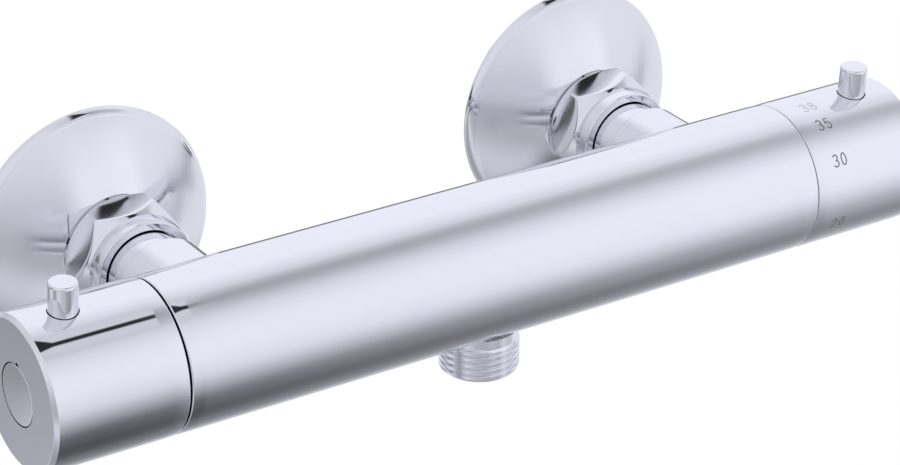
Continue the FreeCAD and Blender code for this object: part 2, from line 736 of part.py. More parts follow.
def handle_pieces(name, axis):
    save(name + "_handle", handle(axis, seam_gaps[name]))
    button, foot = stop_button(axis)
    save(name + "_stop_button", button)
    save(name + "_button_spring", spring(button_line(axis), hub_radius, foot, button_spring_radius,
                                         button_spring_wire, button_spring_turns))
    adapter = prism(axis, hub_start + adapter_start_gap, socket_end - adapter_end_gap,
                    socket_across_flats - 2.0 * socket_gap)
    bore = rod(axis, hub_start, socket_end, spline_radius + fit_gap)
    save(name + "_adapter", adapter.cut(bore))
    head_end = cap_floor + screw_head_height
    screw = rod(axis, cap_floor, head_end, screw_head_radius)
    screw = screw.fuse(threaded(axis, cap_floor - screw_length, cap_floor, screw_radius, screw_pitch,
                                screw_thread_depth))
    screw = screw.cut(prism(axis, head_end - screw_socket_depth, head_end, screw_socket_flats))
    save(name + "_handle_screw", screw.removeSplitter())
    disc_start = handle_end - cap_thickness
    skirt = cap_radius - cap_skirt_step
    face_radius = cap_radius - cap_edge
    ball = (face_radius ** 2 + cap_dome ** 2) / (2.0 * cap_dome)
    half_rise = cap_dome - ball + math.sqrt(ball ** 2 - face_radius ** 2 / 4.0)
    cap = turned(axis, [(cap_floor, skirt - cap_skirt_wall), (cap_floor, skirt), (disc_start, skirt),
                        (disc_start, cap_radius), (handle_end - cap_edge, cap_radius),
                        (handle_end, face_radius),
                        ((handle_end + half_rise, face_radius / 2.0), (handle_end + cap_dome, 0.0)),
                        (disc_start, 0.0), (disc_start, skirt - cap_skirt_wall)])
    save(name + "_end_cap", cap)


def stop_ring(axis, hex_flats, hex_start, hex_end, travel):
    """A sleeve keyed on the cartridge's hexagon. Its raised sector ends the button's way round."""
    outer = stop_ring_radius
    inner = outer - stop_ring_wall
    ring = rod(axis, hex_start + touch_gap, hex_end, outer).cut(
        prism(axis, hex_start, hex_end, hex_flats + 2.0 * touch_gap))
    ring = ring.fuse(tube(axis, hex_end, stop_ring_end, outer, inner))
    half_flange = math.degrees(math.asin(button_flange_radius / inner)) + stop_lug_margin
    span = 360.0 - (travel[1] - travel[0]) - 2.0 * half_flange
    opposite = 180.0 + (travel[0] + travel[1]) / 2.0 + button_angle
    lug = sector(axis, stop_ring_end, stop_ring_end + stop_lug_length, inner, outer,
                 opposite * axis.along.x, span)
    return ring.fuse(lug).removeSplitter()


def flow_cartridge():
    axis = left_axis
    thread_end = body_end - body_seal_thickness
    body = rod(axis, flow_disc_start, flow_thread_start, flow_nose_radius)
    body = body.fuse(threaded(axis, flow_thread_start, thread_end, wall_thread_radius, pipe_pitch,
                              thread_depth))
    body = body.fuse(rod(axis, thread_end, body_end, wall_thread_radius - thread_depth))
    body = body.fuse(rod(axis, body_end, flow_hex_start, flow_flange_radius))
    body = body.fuse(prism(axis, flow_hex_start, flow_hex_end, flow_hex_flats))
    body = body.cut(rod(axis, flow_disc_start, flow_guide_start, flow_nose_bore))
    body = body.cut(rod(axis, flow_guide_start, flow_hex_end, flow_spindle_radius + fit_gap))
    window = block(axis, flow_window_start, flow_window_start + flow_window_length,
                   flow_nose_radius + cut_margin, flow_window_width, degrees=90.0)
    key = block(axis, flow_disc_start, flow_disc_start + disc_thickness / 2.0,
                flow_nose_radius - touch_gap, disc_key_width)
    key = key.cut(rod(axis, flow_disc_start, flow_guide_start, flow_nose_bore - disc_key_depth))
    save("flow_cartridge_body", body.cut(window).fuse(key).removeSplitter())
    save("flow_cartridge_seal", tube(axis, thread_end, body_end, body_seal_radius,
                                     wall_thread_radius + touch_gap))
    save("flow_seat_seal", tube(axis, flow_seat, flow_disc_start, flow_nose_radius - touch_gap,
                                flow_seal_hole))
    flow_discs(axis)
    flow_spindle(axis)
    save("flow_stop_ring", stop_ring(axis, flow_hex_flats, flow_hex_start, flow_hex_end, flow_range))


def flow_discs(axis):
    """Two lapped discs with two openings each. The moving one's stand across the fixed one's."""
    radius = flow_nose_bore - fit_gap
    for name, start, middle in (("flow_fixed_disc", flow_disc_start, 90.0),
                                ("flow_moving_disc", flow_disc_start + disc_thickness + film_gap, 0.0)):
        end = start + disc_thickness
        openings = [sector(axis, start, end, disc_port_inner, disc_port_radius, middle + turn,
                           disc_port_angle)
                    for turn in (0.0, 180.0)]
        disc = rod(axis, start, end, radius).cut(openings[0].fuse(openings[1]))
        if name == "flow_fixed_disc":
            notch = block(axis, start, start + disc_thickness / 2.0 + touch_gap, radius,
                          disc_key_width + 2.0 * fit_gap)
            disc = disc.cut(notch.cut(rod(axis, start, end, flow_nose_bore - disc_key_depth - fit_gap)))
        else:
            disc = disc.cut(block(axis, end - driver_depth - film_gap, end, radius,
                                  driver_width + 2.0 * fit_gap,
                                  degrees=90.0))
        save(name, disc)


def flow_spindle(axis):
    driver_start = flow_driver_start - driver_depth
    driver_end = flow_driver_start + driver_thickness
    clip_start = flow_hex_end + touch_gap
    clip_end = clip_start + clip_thickness
    oring_place = flow_guide_start + flow_oring_inset
    oring_inner = flow_spindle_radius - 2.0 * oring_section
    oring_half = oring_section + oring_side_gap
    driver = block(axis, driver_start, driver_end, flow_nose_bore, driver_width, degrees=90.0)
    driver = driver.common(rod(axis, driver_start, driver_end, flow_nose_bore - driver_end_gap))
    spindle = driver.fuse(rod(axis, flow_driver_start, flow_guide_start, flow_wet_radius))
    spindle = spindle.fuse(rod(axis, flow_guide_start, clip_end, flow_spindle_radius))
    spindle = spindle.fuse(splined(axis, clip_end, spindle_end))
    reach = spline_radius + cut_margin
    spindle = spindle.cut(tube(axis, oring_place - oring_half, oring_place + oring_half, reach, oring_inner))
    spindle = spindle.cut(tube(axis, clip_start, clip_end, reach, clip_groove_radius))
    save("flow_spindle", spindle.cut(screw_hole(axis)).removeSplitter())
    save("flow_spindle_oring", ring_seal(axis, oring_place, oring_inner, oring_section))
    clip = tube(axis, clip_start, clip_end, clip_radius, clip_groove_radius)
    opening = block(axis, clip_start, clip_end, clip_radius + cut_margin, clip_opening,
                    degrees=90.0, inner=0.0)
    save("flow_spindle_clip", clip.cut(opening))


def ports(axis, start, length, outer):
    slot = block(axis, start, start + length, outer + cut_margin, port_width, inner=0.0)
    return around(axis, slot, port_count, 90.0)


def thermostat_housing():
    axis = right_axis
    outer = bay_radius - fit_gap
    floor = shoulder + housing_floor
    seat_start = hot_seat_face - hot_seat_thickness
    housing = turned(axis, [(nose_start, nose_bore), (nose_start, nose_radius),
                            (shoulder, nose_radius), (shoulder, outer),
                            (housing_end, outer), (housing_end, housing_bore),
                            (hot_seat_face, housing_bore),
                            (hot_seat_face, seat_inner_radius), (seat_start, seat_inner_radius),
                            (seat_start, housing_bore), (floor, housing_bore), (floor, nose_bore)])
    housing = housing.cut(ports(axis, hot_port_start, hot_port_length, outer))
    housing = housing.cut(ports(axis, cold_port_start, cold_port_length, outer))
    housing = housing.cut(block(axis, cold_seat_face + cold_seat_thickness, housing_end,
                                housing_bore + adjuster_slot_depth, adjuster_key_width + 2.0 * fit_gap))
    section = thermostat_oring_section
    half = section + oring_side_gap
    outer_inner = bay_radius - 2.0 * section
    for place in (divider_oring, outer_oring):
        housing = housing.cut(tube(axis, place - half, place + half, outer + cut_margin, outer_inner))
    nose_half = nose_oring_section + oring_side_gap
    nose_inner = nose_radius + fit_gap - 2.0 * nose_oring_section
    housing = housing.cut(tube(axis, nose_oring - nose_half, nose_oring + nose_half, nose_radius + cut_margin,
                               nose_inner))
    save("thermostat_housing", housing.removeSplitter())
    rings = [ring_seal(axis, place, outer_inner, section) for place in (divider_oring, outer_oring)]
    save("thermostat_orings", Part.makeCompound(rings))
    save("thermostat_nose_oring", ring_seal(axis, nose_oring, nose_inner, nose_oring_section))
    save("thermostat_seat", tube(axis, cold_seat_face, cold_seat_face + cold_seat_thickness, housing_bore,
                                 seat_inner_radius))


def thermostat_element():
    """The pieces that slide together: adjuster, overload spring and plunger, wax element and piston."""
    axis = right_axis
    web_end = web_start + piston_web_thickness
    hub_hole = bulb_radius + fit_gap
    piston = turned(axis, [(web_start, hub_hole), (web_start, piston_rim), (piston_start, piston_rim),
                           (piston_start, piston_radius), (piston_end, piston_radius),
                           (piston_end, piston_rim),
                           (web_end, piston_rim), (web_end, hub_hole)])
    window = Part.makeCylinder(piston_window_radius, piston_web_thickness,
                               axis.point(web_start, (piston_rim + bulb_flange_radius) / 2.0), axis.along)
    save("thermostat_piston", piston.cut(around(axis, window, piston_window_count)))
    bulb_start = web_start - bulb_length
    bulb_end = web_start + bulb_back_length
    flange_start = web_start - bulb_flange_thickness
    plunger_start = adjuster_start + touch_gap
    element = turned(axis, [(bulb_start, 0.0), (bulb_start, bulb_radius - bulb_chamfer),
                            (bulb_start + bulb_chamfer, bulb_radius), (flange_start, bulb_radius),
                            (flange_start, bulb_flange_radius), (web_start, bulb_flange_radius),
                            (web_start, bulb_radius), (bulb_end, bulb_radius), (bulb_end, wax_pin_radius),
                            (plunger_start, wax_pin_radius), (plunger_start, 0.0)])
    save("wax_element", element)
    save("thermostat_return_spring", spring(axis, shoulder + housing_floor, web_start, return_spring_radius,
                                            return_spring_wire, return_spring_turns))
    cavity_end = adjuster_start + adjuster_cavity_depth
    plunger_end = plunger_start + plunger_thickness
    thread = temperature_thread_radius + thread_gap
    adjuster = turned(axis, [(adjuster_start, adjuster_cavity_radius), (adjuster_start, adjuster_radius),
                             (adjuster_end, adjuster_radius), (adjuster_end, thread), (cavity_end, thread),
                             (cavity_end, adjuster_cavity_radius)])
    key_start = adjuster_end - adjuster_key_length
    key = block(axis, key_start, adjuster_end, housing_bore + adjuster_key_height, adjuster_key_width)
    key = key.cut(rod(axis, key_start, adjuster_end, (adjuster_radius + thread) / 2.0))
    save("temperature_adjuster", adjuster.fuse(key).removeSplitter())
    save("overload_plunger", rod(axis, plunger_start, plunger_end, adjuster_cavity_radius - touch_gap))
    save("overload_spring", spring(axis, plunger_end, cavity_end, overload_spring_radius,
                                   overload_spring_wire, overload_spring_turns))


def temperature_drive():
    """The spindle that the handle turns, the nut that holds the cartridge in, and the stop ring."""
    axis = right_axis
    thread_start = adjuster_start + adjuster_cavity_depth + temperature_thread_gap
    spindle = threaded(axis, thread_start, collar_start, temperature_thread_radius, temperature_thread_pitch,
                       temperature_thread_depth)
    spindle = spindle.fuse(rod(axis, collar_start, collar_end, collar_radius))
    spindle = spindle.fuse(rod(axis, collar_end, thermostat_hex_end, temperature_shaft_radius))
    spindle = spindle.fuse(splined(axis, thermostat_hex_end, spindle_end))
    oring_place = thermostat_nut_start + nut_thread_length / 2.0
    oring_inner = temperature_shaft_radius - 2.0 * oring_section
    oring_half = oring_section + oring_side_gap
    spindle = spindle.cut(tube(axis, oring_place - oring_half, oring_place + oring_half,
                               temperature_shaft_radius + cut_margin, oring_inner))
    save("temperature_spindle", spindle.cut(screw_hole(axis)).removeSplitter())
    save("temperature_spindle_oring", ring_seal(axis, oring_place, oring_inner, oring_section))
    nut = threaded(axis, thermostat_nut_start, body_end, nut_thread_radius, nut_thread_pitch,
                   nut_thread_depth)
    nut = nut.fuse(prism(axis, body_end, thermostat_hex_end, thermostat_hex_flats))
    shaft_hole = temperature_shaft_radius + fit_gap
    nut = nut.cut(rod(axis, thermostat_nut_start, thermostat_hex_end, shaft_hole))
    save("thermostat_nut", nut.removeSplitter())
    save("temperature_stop_ring", stop_ring(axis, thermostat_hex_flats, body_end, thermostat_hex_end,
                                            temperature_range))


save("valve_body", valve_body())
outlet_pieces()
for side in sides:
    inlet_pieces(side)
flow_cartridge()
thermostat_housing()
thermostat_element()
temperature_drive()
handle_pieces("flow", left_axis)
handle_pieces("temperature", right_axis)
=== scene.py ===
import bpy
import math
import numpy as np
from mathutils import Matrix, Vector


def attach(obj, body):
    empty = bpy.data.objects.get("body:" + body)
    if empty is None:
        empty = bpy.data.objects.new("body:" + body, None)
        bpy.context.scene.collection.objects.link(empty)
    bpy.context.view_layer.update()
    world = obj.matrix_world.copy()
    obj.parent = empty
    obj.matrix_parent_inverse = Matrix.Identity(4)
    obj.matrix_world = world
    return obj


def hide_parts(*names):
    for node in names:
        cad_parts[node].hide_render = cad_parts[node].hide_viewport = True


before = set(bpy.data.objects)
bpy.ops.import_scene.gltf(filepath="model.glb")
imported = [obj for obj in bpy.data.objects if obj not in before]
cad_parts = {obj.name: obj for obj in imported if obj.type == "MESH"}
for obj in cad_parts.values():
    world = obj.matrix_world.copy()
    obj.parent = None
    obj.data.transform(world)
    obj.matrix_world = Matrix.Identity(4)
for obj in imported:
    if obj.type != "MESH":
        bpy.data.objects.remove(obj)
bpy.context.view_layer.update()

# +Z is up, +Y goes into the wall, and the bar's axis lies along X in front of the wall.
# Sizes are in mm and angles in degrees where no note says otherwise. makeMesh turns mm into metres.
mm = 0.001
fullTurn = 2 * math.pi
layout = {"wallToBar": 70.0, "inletAside": 75.0}
sides = {"left": -1.0, "right": 1.0}
tinyLength = 1e-12  # keeps a division by a length away from zero
tinyTurn = 1e-6  # a way that turns less than this, in radians, goes straight on
weldSteps = 5e3  # points that round to the same 1 / weldSteps mm become one


def unit(vectors):  # vectors scaled to length 1
    length = np.linalg.norm(vectors, axis=-1, keepdims=True)
    return vectors / np.maximum(length, tinyLength)


# An axis with polar coordinates round it:
# point = origin + along * direction + radius * (cos(angle) * first + sin(angle) * second).
class Line:
    def __init__(self, origin, direction, first):
        self.origin = np.array(origin, float)
        self.direction = np.array(direction, float)
        self.first = np.array(first, float)
        self.second = np.cross(self.direction, self.first)

    def point(self, along, radius, angle):
        along, radius, angle = np.broadcast_arrays(along, radius, angle)
        out = np.cos(angle)[..., None] * self.first + np.sin(angle)[..., None] * self.second
        return self.origin + along[..., None] * self.direction + radius[..., None] * out

    def vector(self, along, radial, angle):
        return self.point(along, radial, angle) - self.origin


# Rows of (along, radius, normal along, normal radial) on a way through corners (along, radius, fillet).
# The material lies on the right of the way, so the normal is the way's direction turned left by 90 degrees.
# A fillet f is an arc of radius f that starts f * tan(turn / 2) before its corner.
# A corner without a fillet gives two rows, one with each normal, and stays sharp.
def profile(corners, steps=6):
    places = np.array([corner[:2] for corner in corners], float)
    ways = unit(np.diff(places, axis=0))
    normals = np.stack([-ways[:, 1], ways[:, 0]], axis=1)
    rows = [(*places[0], *normals[0])]
    for index in range(1, len(corners) - 1):
        before, after = normals[index - 1], normals[index]
        fillet = corners[index][2]
        cross = ways[index - 1][0] * ways[index][1] - ways[index - 1][1] * ways[index][0]
        turn = math.atan2(cross, float(ways[index - 1] @ ways[index]))
        if fillet == 0 or abs(turn) < tinyTurn:
            rows.append((*places[index], *before))
            rows.append((*places[index], *after))
            continue
        start = places[index] - ways[index - 1] * fillet * math.tan(abs(turn) / 2)
        middle = start + before * fillet * math.copysign(1, turn)
        for share in np.linspace(0, 1, steps + 1):
            c, s = math.cos(turn * share), math.sin(turn * share)
            normal = np.array([c * before[0] - s * before[1], s * before[0] + c * before[1]])
            rows.append((*(middle - normal * fillet * math.copysign(1, turn)), *normal))
    rows.append((*places[-1], *normals[-1]))
    return np.array(rows)


def mirrored(rows):  # a profile the other way along its line
    return rows * np.array([-1.0, 1.0, -1.0, 1.0])


def anglesRound(count):
    return np.linspace(0, fullTurn, count, endpoint=False)


# A block is a grid of points, their normals, and whether the last column joins the first.
# A swept profile's point for a row and an angle is line.point(along, radius, angle).
def revolveAt(line, rows, angles):
    along, radius, normalAlong, normalRadial = [rows[:, column:column + 1] for column in range(4)]
    angle = angles[None, :]
    return line.point(along, radius, angle), line.vector(normalAlong, normalRadial, angle), True


def revolve(line, rows, count=160):
    return revolveAt(line, rows, anglesRound(count))


# A closed block with the cross product of the grid's two directions as normals, turned to outward's side.
def gradientBlock(points, outward):
    wide = np.concatenate([points[:, -1:], points, points[:, :1]], axis=1)
    normals = unit(np.cross(np.gradient(points, axis=0), np.gradient(wide, axis=1)[:, 1:-1]))
    facing = np.sum(normals * outward, axis=-1, keepdims=True)
    return points, normals * np.where(facing < 0, -1.0, 1.0), True


def flatBlock(points, normal):  # a closed block with one normal
    return points, np.broadcast_to(normal, points.shape), True


# A block's faces as rows of four point numbers, in the order that makes them look along its normals.
def blockFaces(points, normals, closed):
    rows, columns = points.shape[:2]
    index = np.arange(rows * columns).reshape(rows, columns)
    if closed:
        index = np.concatenate([index, index[:, :1]], axis=1)
    around = [index[:-1, :-1], index[1:, :-1], index[1:, 1:], index[:-1, 1:]]
    faces = np.stack(around, axis=-1).reshape(-1, 4)
    flat = points.reshape(-1, 3)
    first = flat[faces[:, 2]] - flat[faces[:, 0]]
    second = flat[faces[:, 3]] - flat[faces[:, 1]]
    facing = np.sum(np.cross(first, second) * normals.reshape(-1, 3)[faces[:, 0]])
    return faces[:, ::-1] if facing < 0 else faces


# Joins blocks into one closed mesh. Points on the same weld step become one, so seams and poles close.
# A face drops the corners that became one and goes when fewer than three are left.
# Each corner keeps its own block's normal, so edges between blocks can be sharp.
def makeMesh(name, blocks):
    points, normals, quads, base = [], [], [], 0
    for places, directions, closed in blocks:
        directions = np.broadcast_to(directions, places.shape)
        points.append(places.reshape(-1, 3))
        normals.append(directions.reshape(-1, 3))
        quads.append(blockFaces(places, directions, closed) + base)
        base += len(points[-1])
    points = np.concatenate(points)
    normals = unit(np.concatenate(normals))
    quads = np.concatenate(quads)
    steps = np.round(points * weldSteps).astype(np.int64)
    grains, welded = np.unique(steps, axis=0, return_inverse=True)
    welded = welded.reshape(-1)
    places = np.zeros((len(grains), 3))
    places[welded] = points
    corners = welded[quads]
    kept = corners != np.roll(corners, 1, axis=1)
    whole = kept.sum(axis=1) >= 3
    corners, kept, quads = corners[whole], kept[whole], quads[whole]
    totals = kept.sum(axis=1)
    mesh = bpy.data.meshes.new(name)
    mesh.vertices.add(len(places))
    mesh.vertices.foreach_set("co", (places * mm).ravel())
    mesh.loops.add(int(totals.sum()))
    mesh.loops.foreach_set("vertex_index", corners[kept])
    mesh.polygons.add(len(totals))
    mesh.polygons.foreach_set("loop_start", np.concatenate([[0], np.cumsum(totals)[:-1]]))
    mesh.update(calc_edges=True)
    mesh.polygons.foreach_set("use_smooth", np.ones(len(totals), bool))
    mesh.normals_split_custom_set(normals[quads[kept]].tolist())
    mesh.update()
    return mesh


def makePiece(name, blocks, body, *replaced, slotName="chrome_plate", finishName="polished_chrome_plate"):
    mesh = makeMesh(name, blocks)
    piece = bpy.data.objects.new(name, mesh)
    bpy.context.scene.collection.objects.link(piece)
    mesh.materials.append(materials[finishName])
    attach(piece, body)
    if replaced:
        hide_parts(*replaced)


# The linear colour of an sRGB hex code: c / 12.92 up to 0.04045, above it ((c + 0.055) / 1.055) ^ 2.4.
def linear(code):
    parts = [int(code[place:place + 2], 16) / 255 for place in (1, 3, 5)]
    curve = [part / 12.92 if part <= 0.04045 else ((part + 0.055) / 1.055) ** 2.4 for part in parts]
    return (*curve, 1.0)


# Adds a node with its settings and inputs. An input's value is a plain value or another node's output.
# Its name has _ for a blank, or is i and a number for the input at that place.
def addNode(tree, kind, settings=None, **inputs):
    node = tree.nodes.new("ShaderNode" + kind)
    for key, value in (settings or {}).items():
        setattr(node, key, value)
    for key, value in inputs.items():
        place = int(key[1:]) if key[0] == "i" and key[1:].isdigit() else key.replace("_", " ")
        if isinstance(value, bpy.types.NodeSocket):
            tree.links.new(value, node.inputs[place])
        else:
            node.inputs[place].default_value = value
    return node


# What each finish takes: tones, the two colours between which its pattern goes; grain, the pattern's size;
# roughness, its least and most; relief, the height of its bumps; shader, what is the same all over.
finishes = {
    # Chrome plated on polished brass: a near mirror, a little cool, with slow waves from polishing.
    "polished_chrome_plate": {"tones": ("#ececf0", "#e9eaef"), "grain": 14.0, "roughness": (0.03, 0.05),
                              "relief": 0.0012, "shader": {"Metallic": 1.0}},
    # Chrome plated on a pressed cover: the same metal, but between crown and rim it blurs what it mirrors.
    "satin_chrome_plate": {"tones": ("#ececf0", "#e9eaef"), "grain": 14.0, "roughness": (0.24, 0.28),
                           "relief": 0.0012, "shader": {"Metallic": 1.0},
                           "gloss": {"crown": 18.0, "soft": 26.0, "face": -3.4, "rim": -2.6, "bright": 0.06}},
    # Turned brass: yellow-brown metal, half matt from the tool. The marks are drawn coarser, to show.
    "turned_brass": {"tones": ("#b08d4f", "#9c7a41"), "grain": 2.0, "roughness": (0.28, 0.42),
                     "relief": 0.01, "shader": {"Metallic": 1.0}},
    # Moulded nitrile rubber: nearly black and matt, with a faint mottle.
    "moulded_nitrile_rubber": {"tones": ("#191919", "#222120"), "grain": 0.8, "roughness": (0.6, 0.8),
                               "relief": 0.02, "shader": {"IOR": 1.52}},
    # Moulded acetal: off-white, with a soft, slightly uneven gloss.
    "moulded_acetal": {"tones": ("#e6e5df", "#dddbd2"), "grain": 1.5, "roughness": (0.3, 0.42),
                       "relief": 0.006, "shader": {"IOR": 1.48}},
    # Moulded glass-filled polyamide: dark grey with a dull, uneven skin.
    "moulded_polyamide": {"tones": ("#1d1e20", "#27282a"), "grain": 1.2, "roughness": (0.38, 0.52),
                          "relief": 0.01, "shader": {"IOR": 1.5}},
    # Drawn stainless steel: mid grey metal with a soft gloss.
    "drawn_stainless_steel": {"tones": ("#b9b8b4", "#aaa9a6"), "grain": 1.0, "roughness": (0.22, 0.34),
                              "relief": 0.005, "shader": {"Metallic": 1.0}},
    # Drawn copper alloy: red-brown metal with a soft gloss.
    "drawn_copper_alloy": {"tones": ("#b5673c", "#a3582f"), "grain": 1.5, "roughness": (0.26, 0.4),
                           "relief": 0.006, "shader": {"Metallic": 1.0}},
    # Lapped alumina: a cream ceramic, smooth and glossy.
    "lapped_alumina": {"tones": ("#e9e4d8", "#dfd8c8"), "grain": 1.0, "roughness": (0.2, 0.32),
                       "relief": 0.002, "shader": {"IOR": 1.77}},
    # Pad-printed ink: grey and matt, so that it reads on a mirror.
    "printed_grey_ink": {"tones": ("#6e7078", "#66686f"), "grain": 0.3, "roughness": (0.5, 0.6),
                         "relief": 0.002, "shader": {"IOR": 1.5}},
    # The same ink in a paler grey, for the 38.
    "printed_pale_ink": {"tones": ("#c2c3cc", "#babbc5"), "grain": 0.3, "roughness": (0.5, 0.6),
                         "relief": 0.002, "shader": {"IOR": 1.5}},
}
slotFinishes = {"chrome_plate": "polished_chrome_plate", "raw_brass": "turned_brass",
                "nitrile_rubber": "moulded_nitrile_rubber", "acetal_white": "moulded_acetal",
                "polymer_black": "moulded_polyamide", "stainless_steel": "drawn_stainless_steel",
                "copper_alloy": "drawn_copper_alloy", "alumina": "lapped_alumina"}
pattern = {"detail": 4.0, "roughness": 0.55}  # how much fine noise lies on the coarse


# An escutcheon is bright near its crown and on its rim and soft between. The roughness goes from bright to
# level with the distance from the inlet's axis, and back to bright with the place towards the wall.
def escutcheonGloss(tree, place, level, gloss):
    parts = addNode(tree, "SeparateXYZ", Vector=place)
    aside = addNode(tree, "Math", {"operation": "ABSOLUTE"}, i0=parts.outputs["X"])
    aside = addNode(tree, "Math", {"operation": "SUBTRACT"}, i0=aside.outputs[0],
                    i1=layout["inletAside"] * mm)
    flat = addNode(tree, "CombineXYZ", X=aside.outputs[0], Y=0.0, Z=parts.outputs["Z"])
    far = addNode(tree, "VectorMath", {"operation": "LENGTH"}, i0=flat.outputs[0])
    share = addNode(tree, "MapRange", {"interpolation_type": "SMOOTHSTEP"}, Value=far.outputs["Value"],
                    From_Min=gloss["crown"] * mm, From_Max=gloss["soft"] * mm)
    level = addNode(tree, "Mix", Factor=share.outputs[0], i2=gloss["bright"], i3=level).outputs[0]
    share = addNode(tree, "MapRange", Value=parts.outputs["Y"], From_Min=gloss["face"] * mm,
                    From_Max=gloss["rim"] * mm)
    return addNode(tree, "Mix", Factor=share.outputs[0], i2=level, i3=gloss["bright"]).outputs[0]


# One noise on Object coordinates, a grain wide, drives the tone, the roughness and the bumps.
def makeFinish(name, values):
    material = bpy.data.materials.new(name)
    material.use_nodes = True
    tree = material.node_tree
    tree.nodes.clear()
    place = addNode(tree, "TexCoord").outputs["Object"]
    noise = addNode(tree, "TexNoise", Vector=place, Scale=1.0 / (values["grain"] * mm),
                    Detail=pattern["detail"], Roughness=pattern["roughness"]).outputs["Fac"]
    first, second = values["tones"]
    tone = addNode(tree, "Mix", {"data_type": "RGBA"}, Factor=noise, i6=linear(first), i7=linear(second))
    least, most = values["roughness"]
    level = addNode(tree, "MapRange", Value=noise, To_Min=least, To_Max=most).outputs[0]
    if "gloss" in values:
        level = escutcheonGloss(tree, place, level, values["gloss"])
    relief = addNode(tree, "Bump", Height=noise, Strength=1.0, Distance=values["relief"] * mm)
    shader = addNode(tree, "BsdfPrincipled", Base_Color=tone.outputs[2], Roughness=level,
                     Normal=relief.outputs[0], **values["shader"])
    output = addNode(tree, "OutputMaterial")
    tree.links.new(shader.outputs[0], output.inputs["Surface"])
    return material


materials = {name: makeFinish(name, values) for name, values in finishes.items()}
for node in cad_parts.values():
    for place in node.material_slots:
        slot = place.material.name.split(".")[0]
        place.material = materials[slotFinishes[slot]]
print("materials done")

# The polished tube that is the outside of the bar and of both handles, and the mesh round a hole in it.
tubeSizes = {"radius": 20.0, "polishLength": 4.0, "polishDrop": 0.1}
holeMesh = {"patch": 1.5, "steps": 24, "rings": 9, "rows": 40}  # patch: half its width in hole radii


# Polishing takes a little off near both ends: r = R - drop * s^2, where s goes from 0 to 1 over the last
# polishLength before an end. The normal leans by the slope of r.
def tubeSkin(line, along, angle, start, end):
    reach, drop = tubeSizes["polishLength"], tubeSizes["polishDrop"]
    near = np.clip((start + reach - along) / reach, 0, 1)
    far = np.clip((along - end + reach) / reach, 0, 1)
    radius = tubeSizes["radius"] - drop * (near ** 2 + far ** 2)
    slope = drop * 2 * (near - far) / reach
    return line.point(along, radius, angle), unit(line.vector(-slope, np.ones_like(slope), angle))


# A tube with one round hole at a place across and an angle turn. The hole goes on as a well, a profile along
# the hole's own axis. On the unrolled tube the hole's edge is x = h cos(t), y = R asin(h sin(t) / R), and
# a patch goes from it in even shares to a square border, where the tube's own grid goes on.
# Gives the blocks and the angles of the columns, for the ends that join the tube.
def holedTube(line, start, end, columnCount, across, turn, well):
    radius, holeRadius, steps = tubeSizes["radius"], well[0][1], holeMesh["steps"]
    half = holeRadius * holeMesh["patch"]
    wide = half / radius
    before = np.linspace(start, across - half, holeMesh["rows"])
    beside = np.linspace(across - half, across + half, steps + 1)
    after = np.linspace(across + half, end, holeMesh["rows"])
    within = np.linspace(turn - wide, turn + wide, steps + 1)
    rest = np.linspace(turn + wide, turn - wide + fullTurn, columnCount + 1)
    wholeLength = np.concatenate([before, beside[1:-1], after])
    blocks = []
    for rows, columns in ((wholeLength, rest), (before, within), (after, within)):
        along, angle = np.meshgrid(rows, columns, indexing="ij")
        blocks.append((*tubeSkin(line, along, angle, start, end), False))
    walk = np.linspace(-1, 1, steps + 1)[:-1]
    one = np.ones_like(walk)
    borders = [(walk, -one), (one, walk), (-walk, one), (-one, -walk)]
    square = np.concatenate([np.stack(border, 1) for border in borders]) * half
    ray = np.arctan2(square[:, 1], square[:, 0])
    edgeAcross = holeRadius * np.cos(ray)
    edge = np.stack([edgeAcross, radius * np.arcsin(holeRadius * np.sin(ray) / radius)], 1)
    share = np.linspace(0, 1, holeMesh["rings"])[:, None, None]
    patch = edge * (1 - share) + square * share
    patchAngle = turn + patch[..., 1] / radius
    blocks.append((*tubeSkin(line, across + patch[..., 0], patchAngle, start, end), True))
    out = line.vector(0.0, 1.0, np.array(turn))
    down = Line(line.point(across, 0.0, np.array(turn)), out, line.direction)
    points, normals, closed = revolveAt(down, profile(well), -ray)
    rim = tubeSkin(line, across + edge[:, 0], turn + edge[:, 1] / radius, start, end)[0]
    blocks.append((np.concatenate([rim[None], points]), np.concatenate([normals[:1], normals]), closed))
    return blocks, np.concatenate([within[:-1], rest[:-1]])


# The bar's end lies along its axis from the middle. The hole's top and floors and the bosses' start and end
# are distances from the bar's axis.
barSizes = {"end": 95.0, "edge": 0.4, "boreRadius": 17.0, "boreDepth": 8.0, "boreEdge": 0.2, "columns": 300}
outletHole = {"radius": 10.25, "top": 18.0, "floor": 15.5, "boreRadius": 7.1, "boreFloor": 5.0}
bossSizes = {"radius": 12.9, "start": 14.0, "end": 31.5, "edge": 0.35, "hole": 11.2, "holeDepth": 4.0}
barLine = Line((0, -layout["wallToBar"], 0), (1, 0, 0), (0, 0, 1))
inletLines = {side: Line((sign * layout["inletAside"], -layout["wallToBar"], 0), (0, 1, 0), (0, 0, 1))
              for side, sign in sides.items()}


